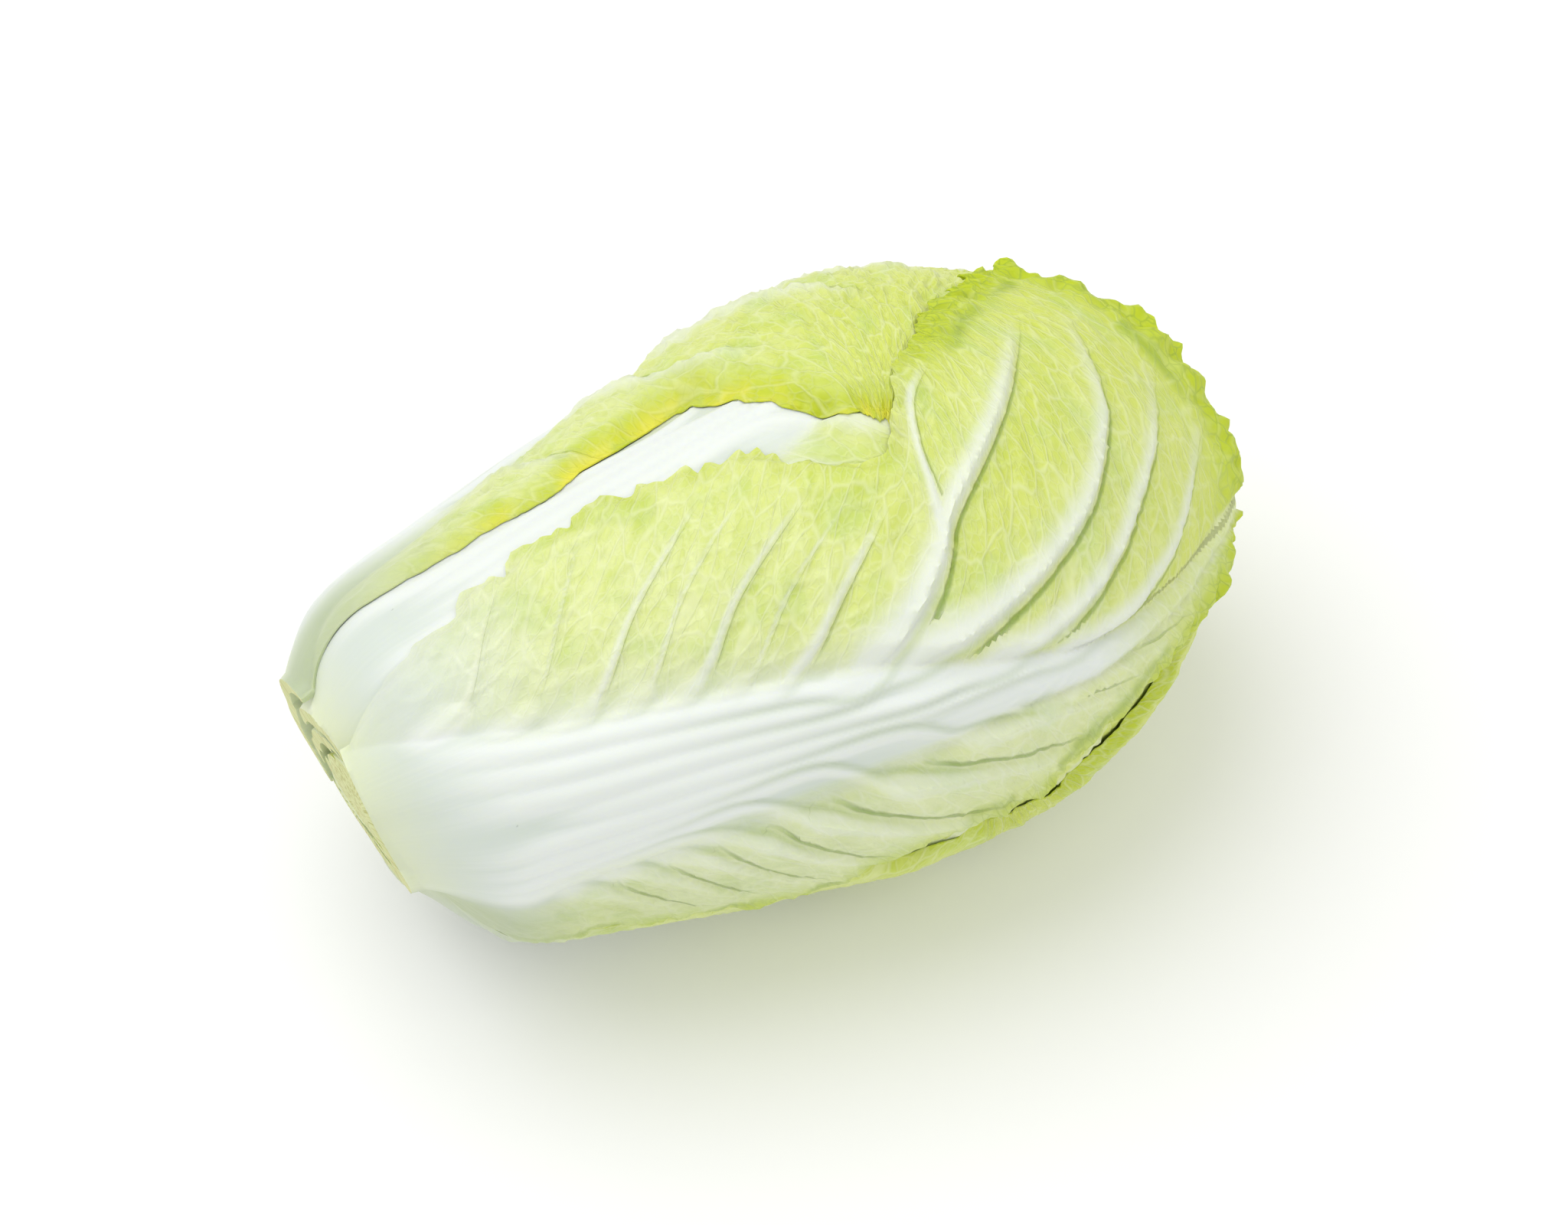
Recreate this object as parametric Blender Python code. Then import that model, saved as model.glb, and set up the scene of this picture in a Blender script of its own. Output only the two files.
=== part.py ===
"""A head of napa cabbage, lying on its side as cut.

Frame, in metres: +X runs from the cut base to the leafy tip, +Z is up, and the origin lies on the
surface under the middle of the head.  Azimuths round the head are in degrees from the front (-Y),
up over the top (+Z at 90) to the back (+Y at 180).

Every layer of the head is a height along rays that come out of the axis.  The rays fan out from
one pivot near the cut base and from another under the tip, and stand square to the axis between
them.  Each leaf lies on all that were laid before it, so leaves lap like shingles and never cross.
A place on a leaf is a distance along its rib and an angle aside from the rib, in degrees.
"""
import math

import bpy
import numpy as np
from mathutils import Vector
from mathutils.bvhtree import BVHTree
from mathutils.geometry import delaunay_2d_cdt

# The head as a whole
HEAD_LENGTH = 0.259
BASE_PIVOT = 0.026
TIP_PIVOT = 0.159
MEAN_RADIUS = 0.0765
WIDTH_FACTOR = 1.035
HEIGHT_FACTOR = 0.965
REST_DEPTH = 0.0705  # the axis lies this far above the flattened underside
FLANK_TAPER = 0.38
FLANK_SLOPE = 0.26  # how the flank leans where the base's fan of rays begins
BASE_DEPTH = 0.0300  # how far the rounded base reaches back from its pivot
BASE_LEAN = 0.0035  # it reaches further on the upper back, at this azimuth
BASE_LEAN_AZIMUTH = 148
BASE_ARM = 0.045  # distance along a rib for each radian of the fans
TIP_ARM = 0.102

# The packing of the leaves
WRAP_DEPTH = 0.0125  # depth of the wrapping leaves over the heart
LAYER_GAP = 0.0007
BLADE_THICKNESS = 0.0010
ASIDE = 0.0013  # mean width of one degree on a leaf
DRAPE_ROUNDS = 3
DRAPE_STEPS = 30

# The stem and the heart
STEM_RADIUS = 0.016
STEM_CROWN = 0.0012
HEART_SIDES = 28
HEART_ROWS = 15
HEART_GAP = 0.0032
HEART_FOLD = 0.0020
HEART_LAPS = 3
HEART_TWIST = 4

# A rib: half its spread in degrees and its height over the blade, at distances along it
RIB_EDGE = (
    (-0.016, 56), (0.000, 50), (0.010, 43), (0.020, 36), (0.045, 27), (0.070, 23), (0.090, 19.5),
    (0.112, 16), (0.135, 12.5), (0.160, 7.5), (0.190, 5), (0.220, 3.2), (0.260, 2), (0.320, 1),
)
RIB_HEIGHT = (
    (-0.016, 0.0030), (0.020, 0.0042), (0.120, 0.0044), (0.160, 0.0034), (0.200, 0.0022),
    (0.250, 0.0012), (0.320, 0.0005),
)
GROOVE_SHARE = 0.33
GROOVE_END = 0.150
GROOVE_DEPTH = 0.0007
RIB_END = 0.245
# Ridges along the rib: the share of its half spread, and the distance at which each ends
RIB_LINES = ((0, 0.300), (GROOVE_SHARE, GROOVE_END), (0.66, 0.165), (1, RIB_END))
RIB_MARGIN = 3  # degrees of blade beside the rib at the cut end

# Veins stand out of the blade, most where they leave the rib
VEIN_HEIGHT = 0.0036
VEIN_HALF_WIDTH = 0.0045
VEIN_STEP = 0.010
VEIN_ROOT = 0.012  # a vein leaves the rib from this far back
BLISTER = 0.0010  # the blade swells at random between the veins

# Leaves, from the innermost to the outermost.  azimuth is where the rib lies.  An edge runs from
# the base to the tip, and veins from the rib outwards.
PLAIN_EDGE = (
    (0.010, 54), (0.035, 58), (0.070, 66), (0.110, 72), (0.160, 73), (0.220, 70), (0.270, 62),
    (0.305, 44),
)
PLAIN_VEINS = (
    ((0.062, 26), (0.082, 42), (0.104, 56)),
    ((0.098, 21), (0.122, 38), (0.152, 55)),
    ((0.130, 15), (0.160, 31), (0.202, 47)),
    ((0.152, 11), (0.192, 25), (0.240, 36)),
    ((0.178, 8), (0.222, 15), (0.268, 20)),
)
INNER_VEINS = PLAIN_VEINS[1::2]
FRONT_LEFT_EDGE = (
    (0.004, 52), (0.020, 59), (0.045, 67), (0.078, 71), (0.111, 65), (0.138, 55), (0.153, 49), (0.165, 51),
    (0.176, 58), (0.200, 64), (0.245, 66), (0.285, 63), (0.318, 52), (0.312, 42), (0.305, 26), (0.292, 11),
)
FRONT_RIGHT_EDGE = (
    (0.010, 54), (0.056, 52), (0.090, 54), (0.120, 51), (0.137, 43), (0.150, 37), (0.180, 32),
    (0.200, 27), (0.218, 20), (0.230, 12), (0.248, 5),
)
FRONT_LEFT_VEINS = (
    ((0.046, 29), (0.056, 47), (0.066, 58)),
    ((0.068, 26), (0.083, 43), (0.108, 56)),
    ((0.089, 22), (0.101, 38), (0.122, 50)),
    ((0.112, 17), (0.126, 25), (0.143, 39)),
    ((0.127, 14), (0.150, 20), (0.168, 35), (0.205, 38), (0.255, 47)),
    ((0.160, 31), (0.159, 42), (0.172, 54)),
    ((0.142, 11), (0.176, 14), (0.220, 19), (0.246, 28), (0.267, 36), (0.298, 44)),
    ((0.160, 7), (0.203, 10), (0.245, 14), (0.268, 17), (0.290, 22)),
    ((0.176, 6), (0.228, 6), (0.259, 9), (0.280, 14)),
)
FRONT_RIGHT_VEINS = (
    ((0.070, 24), (0.082, 30), (0.098, 39)),
    ((0.112, 18), (0.130, 24), (0.145, 31)),
    ((0.132, 14), (0.158, 19), (0.178, 26)),
    ((0.151, 9), (0.180, 15), (0.202, 21)),
    ((0.165, 7), (0.192, 9), (0.216, 14)),
)
BACK_RIGHT_EDGE = (
    (0.010, 52), (0.036, 56), (0.078, 61), (0.100, 57), (0.121, 54), (0.131, 64), (0.146, 76), (0.158, 81),
    (0.200, 81), (0.240, 79), (0.275, 68), (0.300, 48),
)
BACK_LEFT_EDGE = ((0.010, 52), (0.035, 55), (0.160, 57), (0.220, 58), (0.270, 54), (0.300, 40))
LEAVES = {
    "inner_leaf_1": dict(azimuth=56, length=0.338, spacing=0.0155, ruffle=0.0012, tooth=0.0012),
    "inner_leaf_2": dict(azimuth=236, length=0.334, spacing=0.0155, ruffle=0.0012, tooth=0.0012),
    "inner_leaf_3": dict(azimuth=146, length=0.336, spacing=0.0155, ruffle=0.0012, tooth=0.0012),
    "inner_leaf_4": dict(azimuth=320, length=0.330, spacing=0.0150, ruffle=0.0018, tooth=0.0018),
    "outer_leaf_top": dict(
        azimuth=106, length=0.322, spacing=0.0130, ruffle=0.0018, tooth=0.0018, veins=PLAIN_VEINS,
    ),
    "outer_leaf_under": dict(
        azimuth=272, length=0.325, spacing=0.0130, ruffle=0.0018, tooth=0.0018, veins=PLAIN_VEINS,
    ),
    "outer_leaf_back": dict(
        azimuth=170, length=0.322, spacing=0.0120, ruffle=0.0030, tooth=0.0026, veins=PLAIN_VEINS,
        left_edge=BACK_LEFT_EDGE, right_edge=BACK_RIGHT_EDGE,
    ),
    "outer_leaf_front": dict(
        azimuth=31, length=0.270, spacing=0.0105, ruffle=0.0034, tooth=0.0036, left_veins=FRONT_LEFT_VEINS,
        right_veins=FRONT_RIGHT_VEINS, left_edge=FRONT_LEFT_EDGE, right_edge=FRONT_RIGHT_EDGE,
    ),
}
OUTLINE_STEP = 0.0080
REST_CUT = 0.0025  # the lowest rib is pressed flat by this much where the head rests
COLOURS = {
    "rib": (0.86, 0.90, 0.80),
    "outer": (0.66, 0.78, 0.25),
    "inner": (0.80, 0.84, 0.30),
    "heart": (0.88, 0.86, 0.42),
    "stem": (0.84, 0.85, 0.62),
}


def clear_scene():
    for obj in list(bpy.data.objects):
        bpy.data.objects.remove(obj)


def material(name, colour, roughness=0.45):
    made = bpy.data.materials.new(name)
    made.use_nodes = True
    shader = made.node_tree.nodes["Principled BSDF"]
    shader.inputs["Base Color"].default_value = (*colour, 1)
    shader.inputs["Roughness"].default_value = roughness
    shader.inputs["Metallic"].default_value = 0
    made.diffuse_color = (*colour, 1)
    return made


# --- The shared shape of the head -------------------------------------------------------------

def flank_radius(along):
    """The head's mean radius at a distance along the axis, between the pivots."""
    before = (TIP_PIVOT - along) / TIP_PIVOT
    return MEAN_RADIUS * (1 - FLANK_TAPER * np.clip(before, 0, 1) ** 1.5)


def envelope(along, ray):
    """How far the head reaches along each ray, flattened where it rests."""
    across = np.hypot(ray[..., 1], ray[..., 2]) + 1e-9
    wide = ray[..., 1] / across
    high = ray[..., 2] / across
    radius = flank_radius(along) / np.hypot(wide / WIDTH_FACTOR, high / HEIGHT_FACTOR)
    turn = math.radians(BASE_LEAN_AZIMUTH)
    base_depth = BASE_DEPTH + BASE_LEAN * (high * math.sin(turn) - wide * math.cos(turn))
    reach = np.where(ray[..., 0] > 0, HEAD_LENGTH - TIP_PIVOT, base_depth)
    free = 1 / np.hypot(ray[..., 0] / reach, across / radius)
    back = np.arctan2(np.clip(-ray[..., 0], 0, 1), across)
    free = free * (1 - FLANK_SLOPE * back * (1 - back))
    floor = REST_DEPTH / np.clip(-ray[..., 2], 0.05, 1)
    softness = 0.0015
    return -softness * np.logaddexp(-free / softness, -floor / softness)


def core(along, ray):
    """The surface of the heart and the stem, which the leaves are wrapped round."""
    across = np.hypot(ray[..., 1], ray[..., 2]) + 1e-9
    heart = envelope(along, ray) - WRAP_DEPTH
    stem = np.where(ray[..., 0] < 0, STEM_RADIUS / across, 0)
    return np.maximum(heart, stem)


def ring_ray(run, around):
    """The rays at a distance along the head and an azimuth in radians, fanned at the base and the tip."""
    lean = np.clip(run - TIP_PIVOT, 0, None) / TIP_ARM - np.clip(BASE_PIVOT - run, 0, None) / BASE_ARM
    return np.stack([np.sin(lean), -np.cos(lean) * np.cos(around), np.cos(lean) * np.sin(around)], axis=-1)


def place(run, spread, azimuth):
    """The pivot and the ray of places on a leaf.  Past the tip's pivot the rib keeps its plane."""
    over = np.clip(run - TIP_PIVOT, 0, None) / TIP_ARM
    aside = np.radians(spread)
    turn = math.radians(azimuth)
    out = np.array([0, -math.cos(turn), math.sin(turn)])
    round_way = np.array([0, math.sin(turn), math.cos(turn)])
    forward = np.array([1, 0, 0])
    middle = np.cos(over)[..., None] * out + np.sin(over)[..., None] * forward
    dome = np.cos(aside)[..., None] * middle + np.sin(aside)[..., None] * round_way
    ray = np.where((over > 0)[..., None], dome, ring_ray(run, turn + aside))
    return np.clip(run, BASE_PIVOT, TIP_PIVOT), ray


def on_ray(along, ray, reach):
    return np.stack([along, 0 * along, 0 * along], axis=-1) + ray * reach[..., None]


def ray_of(points):
    """The pivot, the ray and the reach of points in space."""
    along = np.clip(points[:, 0], BASE_PIVOT, TIP_PIVOT)
    arm = points - np.stack([along, 0 * along, 0 * along], axis=-1)
    reach = np.linalg.norm(arm, axis=1)
    return along, arm / reach[:, None], reach


# --- A leaf laid flat -------------------------------------------------------------------------

def value_at(run, table):
    places, values = zip(*table)
    return np.interp(run, places, values)


def on_ball(places):
    """Places on a leaf as points on a ball of the head's mean size, to measure distances by."""
    along, ray = place(*np.array(places, dtype=float).T, 0)
    return on_ray(along, ray, np.full(len(along), MEAN_RADIUS))


def walk(line, step):
    """Points about a step apart along a line of (distance, degrees) corners, ends included."""
    line = np.array(line, dtype=float)
    marks = np.linspace(0, len(line) - 1, 20 * (len(line) - 1) + 1)
    fine = np.stack([np.interp(marks, np.arange(len(line)), column) for column in line.T], axis=1)
    way = np.concatenate([[0], np.cumsum(np.linalg.norm(np.diff(on_ball(fine), axis=0), axis=1))])
    stops = np.linspace(0, way[-1], max(1, round(way[-1] / step)) + 1)
    return np.stack([np.interp(stops, way, column) for column in fine.T], axis=1)


def base_line(start):
    """Points across the leaf's cut end, from its right edge to its left edge."""
    rib = value_at(start, RIB_EDGE)
    left = [rib * share for share, _ in RIB_LINES] + [rib + RIB_MARGIN]
    right = [-spread for spread in reversed(left[1:])]
    return np.array([(start, spread) for spread in right + left])


def outline_of(leaf, start, rng):
    """The leaf's toothed outline as a loop, and how far each of its points stands out of the leaf."""
    clear = start + OUTLINE_STEP
    left = [corner for corner in leaf.get("left_edge", PLAIN_EDGE) if corner[0] > clear]
    right = [(run, -spread) for run, spread in reversed(leaf.get("right_edge", PLAIN_EDGE)) if run > clear]
    base = base_line(start)
    edge = walk([base[-1], *left, (leaf["length"], 0), *right, base[0]], OUTLINE_STEP)[1:-1]
    way = np.gradient(edge, axis=0) * (1, ASIDE)
    outward = np.stack([-way[:, 1], way[:, 0]], axis=1) / np.linalg.norm(way, axis=1)[:, None]
    turn = np.where(np.arange(len(edge)) % 2, 1, -1)
    grown = np.clip((edge[:, 0] - 0.01) / 0.05, 0.15, 1)
    teeth = leaf["tooth"] * turn * rng.uniform(-0.3, 1.2, len(edge)) * grown
    edge = edge + outward * teeth[:, None] / (1, ASIDE)
    crests, troughs = rng.uniform(0.3, 1.1, len(edge)), rng.uniform(0, 0.4, len(edge))
    waves = leaf["ruffle"] * grown * np.where(turn > 0, crests, troughs)
    return np.concatenate([base, edge]), np.concatenate([0 * base[:, 0], waves])


def veins_of(leaf):
    """The veins of both halves, each rooted in the rib."""
    veins = leaf.get("veins", INNER_VEINS)
    found = []
    for side, half in ((1, leaf.get("left_veins", veins)), (-1, leaf.get("right_veins", veins))):
        for vein in half:
            run, spread = vein[0]
            rooted = spread < 1.4 * value_at(run, RIB_EDGE)
            root = [(run - VEIN_ROOT, 0.7 * value_at(run - VEIN_ROOT, RIB_EDGE))] if rooted else []
            found.append(np.array(root + list(vein)) * (1, side))
    return found


def vein_flanks(leaf, lines, outline):
    """Points beside the veins, where the blade has sunk back between them."""
    flanks = np.empty((0, 2))
    for vein in lines:
        way = np.gradient(vein, axis=0) * (1, ASIDE)
        beside = np.stack([-way[:, 1], way[:, 0]], axis=1) / np.linalg.norm(way, axis=1)[:, None]
        for side in (-1, 1):
            flanks = np.concatenate([flanks, vein + side * VEIN_HALF_WIDTH * beside / (1, ASIDE)])
    flanks = flanks[inside(flanks, outline)]
    flanks = flanks[np.abs(flanks[:, 1]) > value_at(flanks[:, 0], RIB_EDGE) + 1.5]
    for vein in lines:
        flanks = flanks[distance_to(flanks, vein)[0] > 0.7 * VEIN_HALF_WIDTH]
    return flanks


def rib_lines(leaf, start):
    """Lines along the rib's edges and ridges, from the cut end."""
    lines = []
    for share, end in RIB_LINES:
        runs = np.linspace(start, min(end, leaf["length"] - 0.012), 18)
        for side in (-1, 1) if share else (1,):
            line = np.stack([runs, side * share * value_at(runs, RIB_EDGE)], axis=1)
            points = walk(line, 1.4 * leaf["spacing"])
            points[:, 1] = side * share * value_at(points[:, 0], RIB_EDGE)
            lines.append(points)
    return lines


def inside(points, loop):
    """Which points lie inside a loop of corners."""
    after = np.roll(loop, -1, axis=0)
    found = np.zeros(len(points), dtype=bool)
    for (run, spread), (next_run, next_spread) in zip(loop, after):
        crosses = (spread > points[:, 1]) != (next_spread > points[:, 1])
        share = (points[:, 1] - spread) / (next_spread - spread + 1e-12)
        found ^= crosses & (points[:, 0] < run + share * (next_run - run))
    return found


def spaced(candidates, points, from_points, apart):
    """The candidates that keep a distance from the points and from each other."""
    taken = on_ball(points)
    kept, kept_balls = [], np.empty((0, 3))
    for candidate, ball in zip(candidates, on_ball(candidates)):
        if np.linalg.norm(taken - ball, axis=1).min() < from_points:
            continue
        if len(kept) and np.linalg.norm(kept_balls - ball, axis=1).min() < apart:
            continue
        kept.append(candidate)
        kept_balls = np.concatenate([kept_balls, [ball]])
    return kept


def filling(outline, spacing, rng):
    """A jittered lattice over the leaf."""
    low, high = outline.min(axis=0), outline.max(axis=0)
    rows = np.arange(low[0], high[0], spacing * 0.87)
    across = np.arange(low[1], high[1], spacing / ASIDE)
    run, spread = np.meshgrid(rows, across, indexing="ij")
    spread = spread + (np.arange(len(rows)) % 2)[:, None] * spacing / ASIDE / 2
    grid = np.stack([run.ravel(), spread.ravel()], axis=1)
    grid = grid + rng.uniform(-0.12, 0.12, grid.shape) * spacing / (1, ASIDE)
    return grid[inside(grid, outline)]


def flat_leaf(leaf, start, rng):
    """The leaf's points as (distance, degrees), their lift out of it, and its triangles."""
    outline, waves = outline_of(leaf, start, rng)
    points, edges = list(outline), []
    edges += [(k, (k + 1) % len(outline)) for k in range(len(outline))]
    veins = [walk(vein, VEIN_STEP) for vein in veins_of(leaf)]
    for line in rib_lines(leaf, start) + veins:
        edges += [(k, k + 1) for k in range(len(points), len(points) + len(line) - 1)]
        points += list(line)
    points += spaced(vein_flanks(leaf, veins, outline), points, 0.6 * VEIN_HALF_WIDTH, VEIN_HALF_WIDTH)
    spacing = leaf["spacing"]
    extra = spaced(filling(outline, spacing, rng), points, 0.58 * spacing, 0.75 * spacing)
    lift = np.concatenate([waves, np.zeros(len(points) - len(waves)), rng.uniform(0, BLISTER, len(extra))])
    flat = [Vector((run, spread * ASIDE)) for run, spread in points + extra]
    found, _, faces, source, _, _ = delaunay_2d_cdt(flat, edges, [], 1, 1e-6)
    lifts = np.array([lift[ids[0]] if ids else 0 for ids in source])
    places = np.array([(p.x, p.y / ASIDE) for p in found])
    used, renumbered = np.unique(np.array(faces), return_inverse=True)
    return places[used], lifts[used], renumbered.reshape(-1, 3)


def distance_to(points, line):
    """How far points lie from a line, and how far along the line that is, from 0 to 1."""
    scaled, corners = points * (1, ASIDE), line * (1, ASIDE)
    best, share = np.full(len(points), np.inf), np.zeros(len(points))
    for k in range(len(corners) - 1):
        step = corners[k + 1] - corners[k]
        part = np.clip((scaled - corners[k]) @ step / (step @ step), 0, 1)
        gap = np.linalg.norm(scaled - corners[k] - part[:, None] * step, axis=1)
        share = np.where(gap < best, (k + part) / (len(corners) - 1), share)
        best = np.minimum(best, gap)
    return best, share


def thickness_of(leaf, places):
    """The blade, with its rounded and grooved rib and its veins on the outer face."""
    run, spread = places.T
    share = np.abs(spread) / value_at(run, RIB_EDGE)
    height = value_at(run, RIB_HEIGHT)
    rounded = height * np.clip(1 - share**2, 0, 1) ** 0.6
    grooves = GROOVE_DEPTH * np.clip(1 - np.abs(share - GROOVE_SHARE) / 0.2, 0, 1) * (run < GROOVE_END)
    relief = np.clip(rounded - grooves, 0, None)
    for vein in veins_of(leaf):
        gap, way = distance_to(places, vein)
        ridge = VEIN_HEIGHT * (1 - 0.6 * way) * np.clip(1 - gap / VEIN_HALF_WIDTH, 0, 1)
        relief = np.maximum(relief, ridge)
    return BLADE_THICKNESS + relief


# --- Laying a leaf on those under it ----------------------------------------------------------

# Shares of a triangle's corners at the places where it is held clear of what is under it
SAMPLES = np.array([(i, j, 5 - i - j) for i in range(6) for j in range(6 - i)]) / 5


def cast_down(tree, along, ray):
    """Where rays from outside first meet a surface: how far out, which face and where, or none."""
    far = 0.2
    found = []
    for start, direction in zip(on_ray(along, ray, np.full(len(along), far)), ray):
        point, _, face, distance = tree.ray_cast(Vector(start), Vector(-direction), far)
        found.append((0, None, None) if point is None else (far - distance, face, point))
    return found


def reach_under(along, ray, under):
    """How far what has been laid already reaches along each ray."""
    reach = core(along, ray)
    if under:
        reach = np.maximum(reach, [found[0] for found in cast_down(under["tree"], along, ray)])
    return reach


def cut_start(azimuth, under):
    """The distance along a leaf's rib past which all of its base is on the head's side of the cut."""
    runs, spreads = np.meshgrid(np.linspace(-0.020, 0.016, 73), np.linspace(-55, 55, 12))
    along, ray = place(runs.ravel(), spreads.ravel(), azimuth)
    reach = reach_under(along, ray, under) + RIB_HEIGHT[0][1] + BLADE_THICKNESS
    before_cut = along + ray[:, 0] * reach < 0
    return runs.ravel()[before_cut].max(initial=runs.min()) + 0.0005


def smooth_out(heights, edges):
    """Each height moved half way to the mean of those next to it."""
    total, count = np.zeros(len(heights)), np.zeros(len(heights))
    for a, b in (edges.T, edges.T[::-1]):
        np.add.at(total, a, heights[b])
        np.add.at(count, a, 1)
    return (heights + total / count) / 2


def samples_over(points, faces, under):
    """Places on a leaf's inner face, as corners and their shares, and the reach each must clear."""
    corners = np.repeat(faces, len(SAMPLES), axis=0)
    shares = np.tile(SAMPLES, (len(faces), 1))
    along, ray, reach = ray_of((points[corners] * shares[:, :, None]).sum(axis=1))
    short = reach_under(along, ray, under) - reach
    if under:
        own = BVHTree.FromPolygons([Vector(p) for p in points], [tuple(face) for face in faces.tolist()])
        along, ray, reach = ray_of(under["points"])
        for found, below in zip(cast_down(own, along, ray), reach):
            if found[1] is not None:
                face = faces[found[1]]
                share = np.linalg.lstsq(points[face].T, np.array(found[2]), rcond=None)[0]
                corners = np.concatenate([corners, [face]])
                shares = np.concatenate([shares, [np.clip(share, 0, 1)]])
                short = np.append(short, below - found[0])
    return corners, shares, short + LAYER_GAP


def drape(lift, places, faces, azimuth, under):
    """Reaches of a leaf's inner face: smooth, and clear of what lies under every part of it."""
    along, ray = place(*places.T, azimuth)
    base = core(along, ray)
    sides = np.concatenate([faces[:, [0, 1]], faces[:, [1, 2]], faces[:, [2, 0]]])
    edges = np.unique(np.sort(sides, axis=1), axis=0)
    heights = np.full(len(places), LAYER_GAP)
    for turn in range(DRAPE_ROUNDS + 1):
        points = on_ray(along, ray, base + heights + lift)
        corners, shares, short = samples_over(points, faces, under)
        need = (heights[corners] * shares).sum(axis=1) + short
        for step in range(DRAPE_STEPS):
            if turn < DRAPE_ROUNDS and step < DRAPE_STEPS - 10:
                heights = smooth_out(heights, edges)
            miss = np.clip(need - (heights[corners] * shares).sum(axis=1), 0, None)
            push = miss[:, None] * shares / (shares**2).sum(axis=1)[:, None]
            rise = np.zeros(len(heights))
            np.maximum.at(rise, corners.ravel(), push.ravel())
            heights = heights + rise
    return base + heights + lift


def lay_leaf(leaf, under, rng):
    """The points of a leaf's inner and outer faces, its triangles, and which of them are rib."""
    start = cut_start(leaf["azimuth"], under)
    places, lift, faces = flat_leaf(leaf, start, rng)
    along, ray = place(*places.T, leaf["azimuth"])
    inner_reach = drape(lift, places, faces, leaf["azimuth"], under)
    outer_reach = inner_reach + thickness_of(leaf, places)
    inner = on_ray(along, ray, inner_reach)
    outer = on_ray(along, ray, outer_reach)
    cut = np.isclose(places[:, 0], start)
    inner[cut, 0] = 0
    outer[cut, 0] = 0
    middle = places[faces].mean(axis=1)
    on_rib = (np.abs(middle[:, 1]) < value_at(middle[:, 0], RIB_EDGE)) & (middle[:, 0] < RIB_END)
    return inner, outer, faces, on_rib


def closed_faces(faces, on_rib, count):
    """Triangles of the outer face, the inner face and the rim between them, and which are rib."""
    rim = {}
    for face, rib in zip(faces.tolist(), on_rib.tolist()):
        for a, b in zip(face, face[1:] + face[:1]):
            if (b, a) in rim:
                rim.pop((b, a))
            else:
                rim[(a, b)] = rib
    closed = faces.tolist() + (faces[:, ::-1] + count).tolist()
    ribs = on_rib.tolist() * 2
    for (a, b), rib in rim.items():
        closed += [(b, a, a + count), (b, a + count, b + count)]
        ribs += [rib, rib]
    return closed, ribs


def all_under(bodies):
    """A search tree over the closed bodies laid so far, and their points."""
    points, faces = [], []
    for body_points, body_faces in bodies:
        faces += [tuple(k + len(points) for k in face) for face in body_faces]
        points += [Vector(p) for p in body_points]
    return dict(tree=BVHTree.FromPolygons(points, faces), points=np.array(points))


# --- The stem and the heart -------------------------------------------------------------------

def heart_shape():
    """The stem's cut end and the packed inner leaves, as rings of points with a pole at each end."""
    turns = np.arange(HEART_SIDES) * 2 * math.pi / HEART_SIDES
    crown = ring_ray(np.full(HEART_SIDES, BASE_PIVOT), turns) * 0.6 * STEM_RADIUS
    rings = [crown - (0.6 * STEM_CROWN, 0, 0)]
    first = BASE_PIVOT - BASE_ARM * math.atan2(BASE_PIVOT, STEM_RADIUS)
    last = TIP_PIVOT + TIP_ARM * math.pi / 2
    for run in first + (last - first) * np.linspace(0, 1, HEART_ROWS + 1)[:-1] ** 1.35:
        ray = ring_ray(np.full(HEART_SIDES, run), turns)
        along = np.full(HEART_SIDES, np.clip(run, BASE_PIVOT, TIP_PIVOT))
        grown = np.clip((run - BASE_PIVOT) / 0.05, 0, 1)
        laps = (turns * HEART_LAPS / (2 * math.pi) + HEART_TWIST * run / last) % 1
        reach = core(along, ray) - grown * (HEART_GAP - HEART_FOLD * laps)
        rings.append(on_ray(along, ray, reach))
    tip = (HEAD_LENGTH - WRAP_DEPTH - HEART_GAP, 0, 0)
    points = np.concatenate([[(-STEM_CROWN, 0, 0)], *rings, [tip]])
    end = len(points) - 1
    start = end - HEART_SIDES
    faces = []
    for k in range(HEART_SIDES):
        beside = (k + 1) % HEART_SIDES
        faces += [(0, 1 + k, 1 + beside), (end, start + beside, start + k)]
        for row in range(0, start - 1, HEART_SIDES):
            a, b = 1 + row + k, 1 + row + beside
            faces += [(a, a + HEART_SIDES, b + HEART_SIDES), (a, b + HEART_SIDES, b)]
    on_stem = [max(points[list(face), 0]) < 0.5 * BASE_PIVOT for face in faces]
    return points, faces, on_stem


# --- The whole head ---------------------------------------------------------------------------

def make_object(name, points, faces, materials, slots):
    mesh = bpy.data.meshes.new(name)
    mesh.from_pydata([tuple(p) for p in points], [], [tuple(face) for face in faces])
    for each in materials:
        mesh.materials.append(each)
    mesh.polygons.foreach_set("material_index", [int(slot) for slot in slots])
    mesh.update()
    mesh.shade_smooth()
    mesh.set_sharp_from_angle(angle=math.radians(50))
    obj = bpy.data.objects.new(name, mesh)
    bpy.context.scene.collection.objects.link(obj)


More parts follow.
